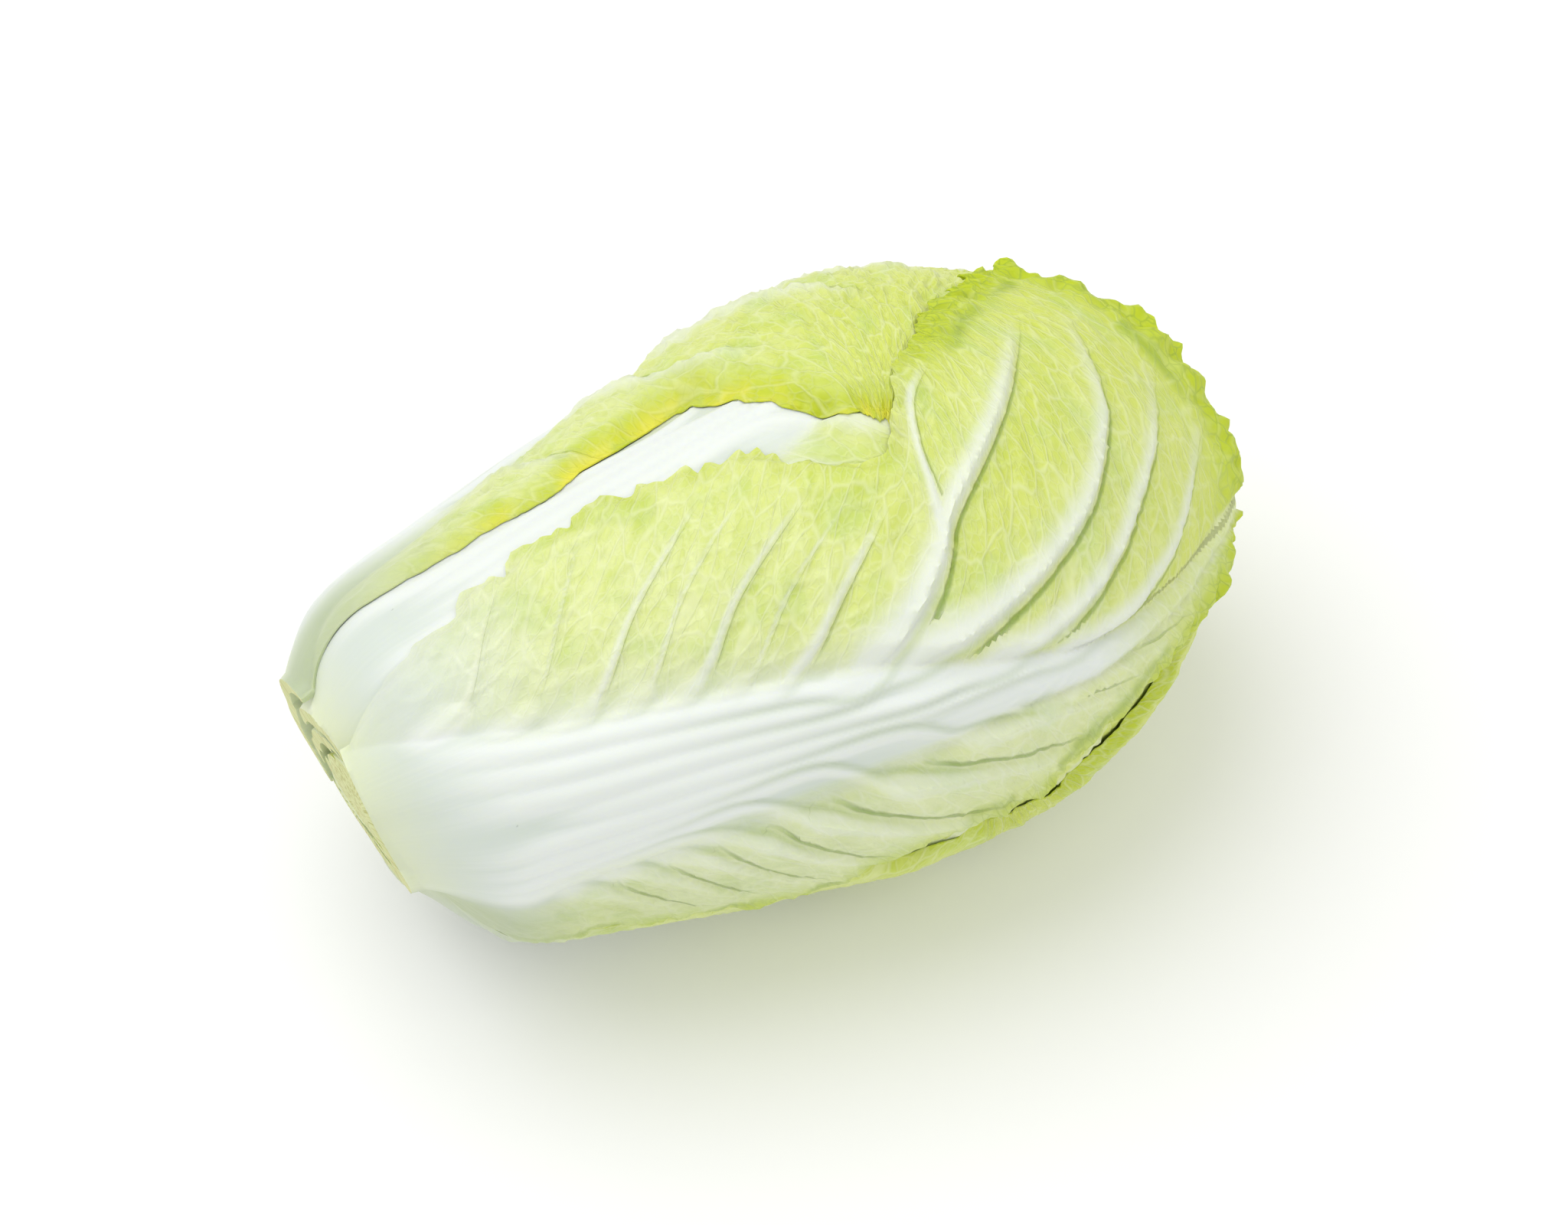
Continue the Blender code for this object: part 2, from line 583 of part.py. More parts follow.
def build_head():
    clear_scene()
    rng = np.random.default_rng(7)
    heart, heart_faces, on_stem = heart_shape()
    laid, bodies = {}, [(heart, heart_faces)]
    for name, leaf in LEAVES.items():
        inner, outer, faces, on_rib = lay_leaf(leaf, all_under(bodies), rng)
        closed, ribs = closed_faces(faces, on_rib, len(outer))
        laid[name] = (inner, outer, closed, ribs)
        bodies.append((np.concatenate([outer, inner]), closed))
    everything = np.concatenate([points for points, _ in bodies])
    flat = everything[:, 2].min() + REST_CUT
    middle = (everything.min(axis=0) + everything.max(axis=0)) / 2
    shift = -np.array([middle[0], middle[1], flat])
    rib_material = material("rib", COLOURS["rib"])
    for name, (inner, outer, closed, ribs) in laid.items():
        outer[:, 2] = np.maximum(outer[:, 2], flat)
        colour = COLOURS[name.split("_")[0]]
        points = np.concatenate([outer, inner]) + shift
        make_object(name, points, closed, (material(name, colour), rib_material), ribs)
    slots = (material("heart", COLOURS["heart"]), material("cut_stem", COLOURS["stem"], 0.6))
    make_object("stem_and_heart", heart + shift, heart_faces, slots, on_stem)


build_head()
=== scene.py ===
import math

import bpy
import numpy as np
from mathutils import Matrix, Vector
from mathutils.bvhtree import BVHTree
from mathutils.geometry import delaunay_2d_cdt
from mathutils.kdtree import KDTree


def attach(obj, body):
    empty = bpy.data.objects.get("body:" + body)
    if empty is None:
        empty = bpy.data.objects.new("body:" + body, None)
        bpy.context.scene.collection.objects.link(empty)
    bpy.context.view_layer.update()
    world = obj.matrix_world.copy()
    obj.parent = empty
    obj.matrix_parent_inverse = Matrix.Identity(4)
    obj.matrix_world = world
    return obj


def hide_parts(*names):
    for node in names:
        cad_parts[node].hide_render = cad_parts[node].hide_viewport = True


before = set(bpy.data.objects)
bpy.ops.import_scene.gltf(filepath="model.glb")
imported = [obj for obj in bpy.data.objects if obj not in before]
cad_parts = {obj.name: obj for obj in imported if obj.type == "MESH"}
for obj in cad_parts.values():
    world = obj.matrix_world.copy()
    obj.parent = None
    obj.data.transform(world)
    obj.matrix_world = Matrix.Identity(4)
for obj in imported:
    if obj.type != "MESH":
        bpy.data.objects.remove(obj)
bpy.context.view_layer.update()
print("frame loaded")

# The head's own shape, in metres and degrees, as its solids have it
head = dict(
    length=0.259, basePivot=0.026, tipPivot=0.159,  # along the axis
    radius=0.0765, wide=1.035, high=0.965, taper=0.38,  # across it
    restDepth=0.0705, restSoftness=0.0015,  # how far under the axis it is pressed flat
    slope=0.26, baseDepth=0.030, baseLean=0.0035, leanAzimuth=148,  # its base
    baseArm=0.045, tipArm=0.102,  # metres along a leaf for each radian that its rays turn
    aside=0.0013,  # metres across a leaf for each degree round the head
    wrap=0.0125, stem=0.016, crown=0.0012,  # depth of the leaves, the stem's radius and bulge
    cutSlant=0.19, slantAzimuth=-50, cutShift=0.004, slantReach=0.045,
)
stemPole = min((v.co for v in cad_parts["stem_and_heart"].data.vertices), key=lambda p: p.x)
axisStart = np.array(stemPole) + (head["crown"], 0, 0)
tiny = 1e-9


def unit(value):
    return np.clip(value, 0, 1)


def rise(value, start, width):
    # 0 up to the start, and 1 from a width past it
    return unit((value - start) / width)


def fall(value, end, width):
    # 1 up to a width before the end, and 0 past the end
    return unit((end - value) / width)


def bell(value, width):
    # 1 at 0, and next to nothing two widths from it
    return np.exp(-((value / width) ** 2))


def envelope(along, ray):
    # how far the whole head reaches along rays from its axis
    across = np.hypot(ray[..., 1], ray[..., 2]) + tiny
    wide, high = ray[..., 1] / across, ray[..., 2] / across
    before = fall(along, head["tipPivot"], head["tipPivot"])
    flank = head["radius"] * (1 - head["taper"] * before**1.5)
    radius = flank / np.hypot(wide / head["wide"], high / head["high"])
    turn = math.radians(head["leanAzimuth"])
    baseDepth = head["baseDepth"] + head["baseLean"] * (high * math.sin(turn) - wide * math.cos(turn))
    reach = np.where(ray[..., 0] > 0, head["length"] - head["tipPivot"], baseDepth)
    free = 1 / np.hypot(ray[..., 0] / reach, across / radius)
    back = np.arctan2(unit(-ray[..., 0]), across)
    free = free * (1 - head["slope"] * back * (1 - back))
    floor = head["restDepth"] / np.clip(-ray[..., 2], 0.05, 1)
    softness = head["restSoftness"]
    return -softness * np.logaddexp(-free / softness, -floor / softness)


def shell(along, ray):
    # the smooth form that the first leaves lie on
    return envelope(along, ray) - head["wrap"]


def core(along, ray):
    # that form again, with the stem standing out of its base
    across = np.hypot(ray[..., 1], ray[..., 2]) + tiny
    return np.maximum(shell(along, ray), np.where(ray[..., 0] < 0, head["stem"] / across, 0))


def ringRay(run, around):
    # rays fan out of a pivot at each end and stand square to the axis between them
    lean = np.clip(run - head["tipPivot"], 0, None) / head["tipArm"]
    lean = lean - np.clip(head["basePivot"] - run, 0, None) / head["baseArm"]
    return np.stack([np.sin(lean), -np.cos(lean) * np.cos(around), np.cos(lean) * np.sin(around)], axis=-1)


def place(run, spread, azimuth):
    # the pivot on the axis and the ray of places on a leaf; past the tip's pivot the rib keeps its plane
    over = np.clip(run - head["tipPivot"], 0, None) / head["tipArm"]
    aside, turn = np.radians(spread), math.radians(azimuth)
    out = np.array([0, -math.cos(turn), math.sin(turn)])
    roundWay = np.array([0, math.sin(turn), math.cos(turn)])
    middle = np.cos(over)[..., None] * out + np.sin(over)[..., None] * np.array([1, 0, 0])
    dome = np.cos(aside)[..., None] * middle + np.sin(aside)[..., None] * roundWay
    ray = np.where((over > 0)[..., None], dome, ringRay(run, turn + aside))
    return np.clip(run, head["basePivot"], head["tipPivot"]), ray


def onRay(along, ray, reach):
    return np.stack([along, 0 * along, 0 * along], axis=-1) + ray * reach[..., None]


def valueAt(run, table):
    places, values = zip(*table)
    return np.interp(run, places, values)


# A rib: half its spread in degrees and its height over the blade, at distances along it
ribEdge = (
    (-0.016, 56), (0.000, 50), (0.010, 43), (0.020, 36), (0.045, 27), (0.070, 23), (0.090, 19.5),
    (0.112, 16), (0.135, 12.5), (0.160, 7.5), (0.190, 5), (0.220, 3.2), (0.260, 2), (0.320, 1),
)
ribHeight = (
    (-0.016, 0.0044), (0.000, 0.0050), (0.020, 0.0048), (0.120, 0.0044), (0.160, 0.0034),
    (0.200, 0.0022), (0.250, 0.0012), (0.320, 0.0005),
)

# Leaves, from the innermost to the outermost: edges run from the base to the tip, veins from the
# rib outwards, both as distances along the rib in metres and degrees aside from it
plainEdge = (
    (0.010, 54), (0.035, 58), (0.070, 66), (0.110, 72), (0.160, 73), (0.220, 70), (0.270, 62), (0.305, 44),
)
plainVeins = (
    ((0.062, 26), (0.082, 42), (0.104, 56)),
    ((0.098, 21), (0.122, 38), (0.152, 55)),
    ((0.130, 15), (0.160, 31), (0.202, 47)),
    ((0.152, 11), (0.192, 25), (0.240, 36)),
    ((0.178, 8), (0.222, 15), (0.268, 20)),
)
plainStrengths = (0.6, 0.8, 1, 0.8, 0.7)
frontLeftEdge = (
    (0.004, 53), (0.020, 60), (0.034, 65), (0.050, 69), (0.078, 72), (0.100, 72), (0.122, 68), (0.138, 59),
    (0.150, 53), (0.162, 52), (0.176, 58), (0.200, 64), (0.245, 66), (0.285, 63), (0.318, 52), (0.312, 42),
    (0.305, 26), (0.292, 11),
)
frontRightEdge = (
    (0.010, 54), (0.056, 52), (0.090, 54), (0.112, 50), (0.130, 44), (0.155, 38), (0.178, 34), (0.200, 27),
    (0.225, 20), (0.245, 16), (0.262, 12), (0.276, 6),
)
frontLeftVeins = (
    ((0.030, 40), (0.044, 57), (0.056, 69)),
    ((0.046, 33), (0.064, 52), (0.080, 69)),
    ((0.060, 27), (0.081, 44), (0.112, 61)),
    ((0.074, 25), (0.094, 42), (0.124, 58)),
    ((0.087, 22), (0.107, 37), (0.138, 51)),
    ((0.099, 19), (0.119, 33), (0.146, 46)),
    ((0.110, 16), (0.132, 29), (0.153, 41)),
    ((0.126, 11), (0.146, 19), (0.160, 28), (0.172, 35), (0.200, 42), (0.238, 48), (0.276, 51)),
    ((0.163, 30), (0.168, 40), (0.174, 49), (0.188, 57), (0.212, 60)),
    ((0.138, 10), (0.172, 14), (0.212, 21), (0.244, 29), (0.264, 36), (0.290, 44)),
    ((0.158, 4), (0.180, 5), (0.212, 10), (0.240, 17), (0.264, 22), (0.292, 26)),
    ((0.184, 0), (0.212, 1), (0.240, 5), (0.266, 11), (0.288, 14)),
)
frontRightVeins = (
    ((0.050, 25), (0.066, 35), (0.078, 43)),
    ((0.063, 22), (0.080, 34), (0.092, 43)),
    ((0.077, 21), (0.096, 34), (0.112, 42)),
    ((0.091, 19), (0.114, 33), (0.130, 38)),
    ((0.107, 17), (0.130, 26), (0.154, 32), (0.174, 31)),
    ((0.128, 13), (0.148, 17), (0.170, 20), (0.200, 22)),
    ((0.152, 8), (0.175, 10), (0.196, 12), (0.222, 14)),
    ((0.176, 8), (0.200, 8), (0.225, 9), (0.250, 9)),
)
backRightEdge = (
    (0.010, 47), (0.036, 50), (0.078, 54), (0.100, 50), (0.121, 48), (0.131, 57), (0.146, 70), (0.158, 77),
    (0.200, 81), (0.240, 79), (0.275, 68), (0.300, 48),
)
backLeftEdge = ((0.010, 52), (0.035, 55), (0.160, 57), (0.220, 58), (0.270, 54), (0.300, 40))
# For each leaf: where its rib faces, its length, the spacing of its points, the heights of the waves
# and teeth at its margin, and what sets it apart. The shares in "tight" and "spread" run round its
# margin, from the base's left end over the tip to the right end
leaves = {
    "inner_leaf_1": dict(azimuth=56, length=0.338, spacing=0.0026, ruffle=0.0012, tooth=0.0012),
    "inner_leaf_2": dict(azimuth=236, length=0.334, spacing=0.0026, ruffle=0.0012, tooth=0.0012),
    "inner_leaf_3": dict(azimuth=146, length=0.336, spacing=0.0026, ruffle=0.0012, tooth=0.0012),
    "inner_leaf_4": dict(
        azimuth=320, length=0.330, spacing=0.0020, ruffle=0.0022, tooth=0.0018, whiteness=0.3,
    ),
    "outer_leaf_top": dict(
        azimuth=106, length=0.322, spacing=0.0018, ruffle=0.0022, tooth=0.0018, creases=0,
    ),
    "outer_leaf_under": dict(
        azimuth=272, length=0.325, spacing=0.0018, ruffle=0.0022, tooth=0.0014, wing=0.6,
        tight=((0, 0.8), (1, 0.8)),
    ),
    "outer_leaf_back": dict(
        azimuth=170, length=0.322, spacing=0.0015, ruffle=0.0006, tooth=0.0030, crinkle=0.0018,
        curl=0.0005, marginTint=0.9, yellow=1, tight=((0, 0.5), (0.5, 0.5), (0.6, 1), (1, 1)),
        leftEdge=backLeftEdge, rightEdge=backRightEdge,
    ),
    "outer_leaf_front": dict(
        azimuth=31, length=0.284, spacing=0.0011, ruffle=0.0016, tooth=0.0052, calm=0.8, curl=0.0024,
        overhang=0.005, flare=0.0030, narrow=0.75, marginTint=0.4, palerRight=0.4,
        tight=((0, 0.9), (0.25, 0.9), (0.40, 0.7), (0.46, 0), (0.62, 0),
               (0.67, 0.9), (0.79, 0.8), (0.835, 1), (1, 1)),
        spread=((0.46, 0), (0.53, 1), (0.68, 1), (0.76, 0.1)),
        bend=((0.130, 0), (0.170, -2.5), (0.200, -5), (0.240, -4), (0.270, -1)),
        leftVeins=frontLeftVeins,
        leftStrengths=(0.3, 0.25, 0.45, 0.3, 0.5, 0.3, 0.6, 1, 0.65, 1, 0.9, 0.8),
        rightVeins=frontRightVeins, rightStrengths=(0.55, 0.6, 0.65, 0.75, 0.85, 0.9, 0.8, 0.6),
        leftEdge=frontLeftEdge, rightEdge=frontRightEdge,
    ),
}


def wave(rng, count, smooth=True):
    # a random line from -1 to 1 with so many turns, as a function of 0 to 1
    knots = rng.uniform(-1, 1, count + 2)

    def value(share):
        at = unit(share) * count
        part = at % 1
        if smooth:
            part = part * part * (3 - 2 * part)
        low = at.astype(int)
        return knots[low] * (1 - part) + knots[low + 1] * part

    return value


def mottle(rng, x, y):
    # soft random hills from -1 to 1, about one to each unit square
    table = rng.uniform(-1, 1, (61, 61))
    i, j = np.floor(x).astype(int), np.floor(y).astype(int)
    u, v = x - i, y - j
    u, v = u * u * (3 - 2 * u), v * v * (3 - 2 * v)
    low = table[i % 61, j % 61] * (1 - u) + table[(i + 1) % 61, j % 61] * u
    high = table[i % 61, (j + 1) % 61] * (1 - u) + table[(i + 1) % 61, (j + 1) % 61] * u
    return low * (1 - v) + high * v


def twoMottles(rng, x, y, share):
    # hills with others on them that are half as wide
    return mottle(rng, x, y) + share * mottle(rng, 2 * x, 2 * y)


def smoothLine(corners, step):
    # a curve through (distance, degrees) corners as flat points in metres, one at each step
    corners = np.array(corners, dtype=float) * (1, head["aside"])
    before, after = 2 * corners[0] - corners[1], 2 * corners[-1] - corners[-2]
    knots = np.concatenate([[before], corners, [after]])
    pieces = []
    for a, b, c, d in zip(knots, knots[1:], knots[2:], knots[3:]):
        t = np.linspace(0, 1, 24, endpoint=False)[:, None]
        pieces.append(0.5 * (2 * b + (c - a) * t + (2 * a - 5 * b + 4 * c - d) * t**2
                             + (3 * b - a - 3 * c + d) * t**3))
    fine = np.concatenate([*pieces, [corners[-1]]])
    way = np.concatenate([[0], np.cumsum(np.linalg.norm(np.diff(fine, axis=0), axis=1))])
    stops = np.linspace(0, way[-1], max(2, round(way[-1] / step)) + 1)
    return np.stack([np.interp(stops, way, column) for column in fine.T], axis=1)


def normals(line):
    way = np.gradient(line, axis=0)
    return np.stack([-way[:, 1], way[:, 0]], axis=1) / np.linalg.norm(way, axis=1)[:, None]


# The margin's lobes, teeth and nicks, and how far from the base they are at their full size
marginShape = dict(lobe=0.020, tooth=0.0055, nick=0.0024, growRun=0.05, fromBase=0.008)


def marginOf(leaf, start, step, rng):
    # the leaf's toothed edge, from the base's left end over the tip to its right end
    half = valueAt(start, ribEdge) + 3
    first = start + marginShape["fromBase"]
    left = [corner for corner in leaf.get("leftEdge", plainEdge) if corner[0] > first]
    right = [(run, -spread) for run, spread in reversed(leaf.get("rightEdge", plainEdge)) if run > first]
    line = smoothLine([(start, half), *left, (leaf["length"], 0), *right, (start, -half)], step)
    share = np.linspace(0, 1, len(line))
    around = len(line) * step
    lobes = wave(rng, round(around / marginShape["lobe"]))(share)
    teeth = wave(rng, round(around / marginShape["tooth"]), False)(share)
    teeth = teeth + 0.5 * wave(rng, round(around / marginShape["nick"]), False)(share)
    grown = np.clip((line[:, 0] - start) / marginShape["growRun"], 0.1, 1)
    calm = leaf.get("calm", 1)
    torn = np.interp(share, (0, 0.04, 0.21, 0.235, 0.41, 0.46, 0.62, 0.68),
                     (0.2, 1, 1, 0.3 * calm, 0.4 * calm, calm, calm, 0.45 * calm))
    offEnds = unit(20 * share * (1 - share))
    out = leaf["tooth"] * torn * grown * (0.45 * lobes + 0.85 * teeth) * offEnds
    return line + normals(line) * out[:, None]


def inside(points, loop):
    # whether each point lies within a closed line
    found = np.zeros(len(points), dtype=bool)
    for (x, y), (nextX, nextY) in zip(loop, np.roll(loop, -1, axis=0)):
        crosses = (y > points[:, 1]) != (nextY > points[:, 1])
        found ^= crosses & (points[:, 0] < x + (points[:, 1] - y) / (nextY - y + tiny**2) * (nextX - x))
    return found


def treeOf(points):
    tree = KDTree(len(points))
    for k, (x, y) in enumerate(points):
        tree.insert((x, y, 0), k)
    tree.balance()
    return tree


def nearest(points, line):
    # how far points lie from a line's points, and the number of the nearest one
    tree = treeOf(line)
    found = [tree.find((x, y, 0)) for x, y in points]
    return np.array([f[2] for f in found]), np.array([f[1] for f in found])


def flatLeaf(leaf, start, rng):
    # flat points in metres, triangles, and each point's distance to the margin and place along it
    step = leaf["spacing"]
    margin = marginOf(leaf, start, 0.8 * step, rng)
    base = np.linspace(margin[-1], margin[0], round((margin[0, 1] - margin[-1, 1]) / step))[1:-1]
    loop = np.concatenate([margin, base])
    low, high = loop.min(axis=0), loop.max(axis=0)
    rows = np.arange(low[0], high[0], step * 0.866)
    x, y = np.meshgrid(rows, np.arange(low[1], high[1], step), indexing="ij")
    y = y + (np.arange(len(rows)) % 2)[:, None] * step / 2
    lattice = np.stack([x.ravel(), y.ravel()], axis=1)
    lattice = lattice + rng.uniform(-0.1, 0.1, lattice.shape) * step
    lattice = lattice[inside(lattice, loop)]
    lattice = lattice[nearest(lattice, loop)[0] > 0.6 * step]
    everything = np.concatenate([loop, lattice])
    edges = [(k, (k + 1) % len(loop)) for k in range(len(loop))]
    found, _, faces, _, _, _ = delaunay_2d_cdt([Vector(p) for p in everything], edges, [], 1, 1e-7)
    used, renumbered = np.unique(np.array(faces), return_inverse=True)
    points = np.array(found)[used]
    gap, number = nearest(points, margin)
    return points, renumbered.reshape(-1, 3), gap, number / len(margin)


def besideLine(points, line, side, reach=0.03):
    # signed distance from a line, more than 0 on the tip's side, and the share of it passed
    gap, share = np.full(len(points), np.inf), np.zeros(len(points))
    low, high = line.min(axis=0) - reach, line.max(axis=0) + reach
    near = np.nonzero(((points > low) & (points < high)).all(axis=1))[0]
    if len(near) == 0:
        return gap, share
    local = points[near]
    best, way, turned = np.full(len(near), np.inf), np.zeros(len(near)), np.ones(len(near))
    for k in range(len(line) - 1):
        step = line[k + 1] - line[k]
        away = local - line[k]
        part = unit(away @ step / (step @ step))
        distance = np.linalg.norm(away - part[:, None] * step, axis=1)
        closer = distance < best
        best = np.where(closer, distance, best)
        way = np.where(closer, (k + part) / (len(line) - 1), way)
        cross = step[0] * away[:, 1] - step[1] * away[:, 0]
        turned = np.where(closer, np.where(cross * side < 0, 1, -1), turned)
    gap[near], share[near] = best * turned, way
    return gap, share


# Veins, in metres: their lines and ridges, their lines within the rib, and the blade beside them
veinShape = dict(
    step=0.003, rootGap=0.018, rootReach=0.15, rootStart=0.012,
    height=0.0007, width=0.0032, thinning=0.6, swelling=1.1, rightWider=1.25,
    ribLine=0.0013, ribLineWidth=0.0034, ribLineEdge=19,  # the width holds where the rib spreads so far
    pleat=0.0044, pleatReach=0.0085, drop=0.0015, groove=0.0012, haze=0.0060,
)
branchShape = dict(
    height=0.0005, width=0.0011, thinning=0.4, every=0.0060, rest=0.004,
    length=(0.010, 0.019), bend=(0.2, 0.5),
)


def veinsOf(leaf):
    # each vein after the line in the rib that it grows from, its side, strength and share in the rib
    found, step = [], veinShape["step"]
    for side, half in ((1, "left"), (-1, "right")):
        veins = leaf.get(half + "Veins", plainVeins)
        strengths = leaf.get(half + "Strengths", plainStrengths)
        rooted = [vein[0][1] < 1.4 * valueAt(vein[0][0], ribEdge) for vein in veins]
        major = [k for k, strength in enumerate(strengths) if rooted[k] and strength >= 0.7]
        for number, (vein, strength) in enumerate(zip(veins, strengths)):
            run, root = vein[0][0], []
            if number in major:
                share = 0.80 - 0.68 * major.index(number) / max(1, len(major) - 1)
                first = max(veinShape["rootStart"], run - veinShape["rootReach"])
                stops = np.linspace(first, run - veinShape["rootGap"], 5)
            elif rooted[number]:
                share, stops = 0.86, [run - veinShape["rootGap"]]
            if rooted[number]:
                share = share * (leaf.get("narrow", 1) if side < 0 else 1)
                root = [(stop, share * valueAt(stop, ribEdge)) for stop in stops]
            line = smoothLine(np.array(root + list(vein)) * (1, side), step)
            inRib = len(smoothLine(np.array(root + [vein[0]]), step)) / len(line) if root else 0
            found.append((line, side, strength, inRib))
    return found


def branchesOf(veins, rng):
    # short side branches, which leave a vein by turns and bend towards the tip
    found = []
    step, rest = veinShape["step"], branchShape["rest"]
    for line, side, _, inRib in veins:
        length = len(line) * step
        for turn, at in enumerate(np.arange(inRib * length + rest, length - rest, branchShape["every"])):
            k = min(int(at / step), len(line) - 2)
            way = (line[k + 1] - line[k]) / np.linalg.norm(line[k + 1] - line[k])
            hand = (1 if turn % 2 else -1) * side
            across = np.array([-way[1], way[0]]) * hand
            reach = rng.uniform(*branchShape["length"]) * (1 - 0.35 * at / length)
            bend = rng.uniform(*branchShape["bend"])
            t = np.linspace(0, 1, 6)[:, None]
            points = line[k] + reach * (across * t * (1 - 0.25 * t) + way * (0.75 * t + bend * t * t))
            found.append((points, side))
    return found


def cellsOver(points, spacing, rng):
    # distances to the two nearest of scattered seeds
    low, high = points.min(axis=0) - spacing, points.max(axis=0) + spacing
    x, y = np.meshgrid(np.arange(low[0], high[0], spacing), np.arange(low[1], high[1], spacing))
    seeds = np.stack([x.ravel(), y.ravel()], axis=1)
    seeds = seeds + rng.uniform(-0.45, 0.45, seeds.shape) * spacing
    tree = treeOf(seeds)
    found = [tree.find_n((x, y, 0), 2) for x, y in points]
    return np.array([f[0][2] for f in found]), np.array([f[1][2] for f in found])


def layVeins(leaf, flat, outward, rng):
    # heights and marks of the veins and their branches: at each point the greatest, or the nearest vein's
    run = flat[:, 0]
    found = {name: np.zeros(len(flat)) for name in ("vein", "net", "crease", "ridge", "pleat", "glow")}
    away, sideOf, power = np.full(len(flat), 5.0), np.zeros(len(flat)), np.zeros(len(flat))

    def atLeast(name, values):
        found[name] = np.maximum(found[name], values)

    veins = veinsOf(leaf)
    for line, side, strength, inRib in veins:
        right = side < 0
        beside, way = besideLine(flat, line, side)
        past = rise(way, inRib, 1 - inRib)
        inner = unit((inRib - way) / 0.06 + 0.5) if inRib else 0
        fade = fall(past, 1, 0.30) * (rise(way, 0, 0.12) if inRib else 1)
        thinned = 1 - veinShape["thinning"] * past
        swollen = 1 + veinShape["swelling"] * np.exp(-past / 0.12) * strength
        width = (0.12 + 0.88 * strength**1.6) * veinShape["width"] * thinned * swollen
        width = width * (veinShape["rightWider"] if right else 1)
        lineWidth = veinShape["ribLineWidth"] * valueAt(run, ribEdge) / veinShape["ribLineEdge"]
        width = width * (1 - inner) + lineWidth * inner
        high = strength**1.5 * veinShape["height"] * thinned
        high = high * (1 - inner) + veinShape["ribLine"] * (0.4 + 0.6 * strength) * inner
        wider = np.where(beside < 0, 1 + 0.9 * strength * (1 - inner), 1)
        reached = np.abs(beside) / width / wider
        atLeast("ridge", high * np.exp(-1.6 * reached**2) * fade)
        white = min(1, 0.3 + strength) * (0.7 if right else 1)
        atLeast("vein", unit(1.35 - reached) * fade * white * (1 - 0.35 * past))
        # the blade lies low on the tip's side of a vein and swells up to it on the base's side
        ahead, behind = np.clip(beside, 0, None), np.clip(-beside, 0, None)
        haze = np.exp(-ahead / veinShape["groove"] - behind / veinShape["haze"])
        atLeast("glow", 0.55 * strength * (1 - 0.7 * past) * haze * fade)
        swell = np.exp(-ahead / veinShape["drop"] - behind / veinShape["pleatReach"])
        atLeast("pleat", strength * veinShape["pleat"] * (1 - 0.5 * past) * swell * outward * fade)
        if inRib:
            entering = rise(way / inRib, 0.50, 0.30) * fall(way / inRib, 1.30, 0.25)
            # painted shade: a dark groove beside each vein's line in the rib
            groove = bell(beside - 0.8 * width, veinShape["groove"]) * entering * strength
            atLeast("crease", groove * (0.55 if right else 0.35))
        reached = np.abs(beside) / width
        closer = (reached < away) & (inner < 0.8)
        away = np.where(closer, reached, away)
        sideOf = np.where(closer, np.clip(beside / width, -1, 1), sideOf)
        # how dark the painted crease shade beside this vein is drawn
        dark = strength**0.7 if right else strength**1.5
        power = np.where(closer, dark * fade * (1 - 0.4 * past), power)
    for line, side in branchesOf(veins, rng):
        beside, way = besideLine(flat, line, side, branchShape["rest"])
        thinned = 1 - branchShape["thinning"] * way
        profile = unit(1 - np.abs(beside) / (branchShape["width"] * thinned)) * fall(way, 1, 0.3)
        atLeast("ridge", branchShape["height"] * thinned * profile)
        atLeast("net", profile)
    return dict(found, away=away, side=sideOf, power=power)


# The blade between the veins, in metres and degrees
bladeShape = dict(
    thick=0.0008, fold=0.0010, foldLean=48, foldSize=(0.0055, 0.022), smallFoldSize=(0.0026, 0.010),
    crinkle=0.0004, crinkleSize=0.006, puff=0.0003, cell=0.0065,
)


def layBlade(leaf, flat, offRib, rng):
    # folds that lean out of the rib, crinkles, the borders of small cells, and places along the folds
    run, aside, spread = flat[:, 0], flat[:, 1], flat[:, 1] / head["aside"]
    calmer = 1 - 0.8 * rise(np.abs(spread), 45, 28) * rise(run, 0.145, 0.02)
    lean = math.radians(bladeShape["foldLean"])
    onward = run * math.cos(lean) + np.abs(aside) * math.sin(lean)
    across = run * math.sin(lean) - np.abs(aside) * math.cos(lean) + 0.3 * (spread > 0)
    (wide, long), (smallWide, smallLong) = bladeShape["foldSize"], bladeShape["smallFoldSize"]
    folds = mottle(rng, across / wide, onward / long)
    folds = folds + 0.5 * mottle(rng, across / smallWide, onward / smallLong)
    folds = (0.5 + 0.5 * folds) * offRib * calmer
    crinkles = twoMottles(rng, run / bladeShape["crinkleSize"], aside / bladeShape["crinkleSize"], 0.6)
    crinkles = unit(1 - np.abs(crinkles))
    crinkles = leaf.get("crinkle", bladeShape["crinkle"]) * crinkles * offRib * calmer
    first, second = cellsOver(flat, bladeShape["cell"], rng)
    return folds, crinkles, (second - first) / bladeShape["cell"], np.stack([across, onward, 0 * run], axis=1)


# The waved and curled margin: sizes, and how far in from the edge each effect reaches
frillShape = dict(
    wave=0.016, ruffleReach=0.008, ruffleSway=0.004, curl=0.0006, curlSize=0.0042, curlReach=0.008,
    furrow=0.0016, furrowAt=0.0095, fullCurl=0.0024, spreadLift=0.0045, marginReach=0.009,
    reach=0.0088, frilledCurl=0.0018, yellowReach=0.0045, rim=0.0013,
)


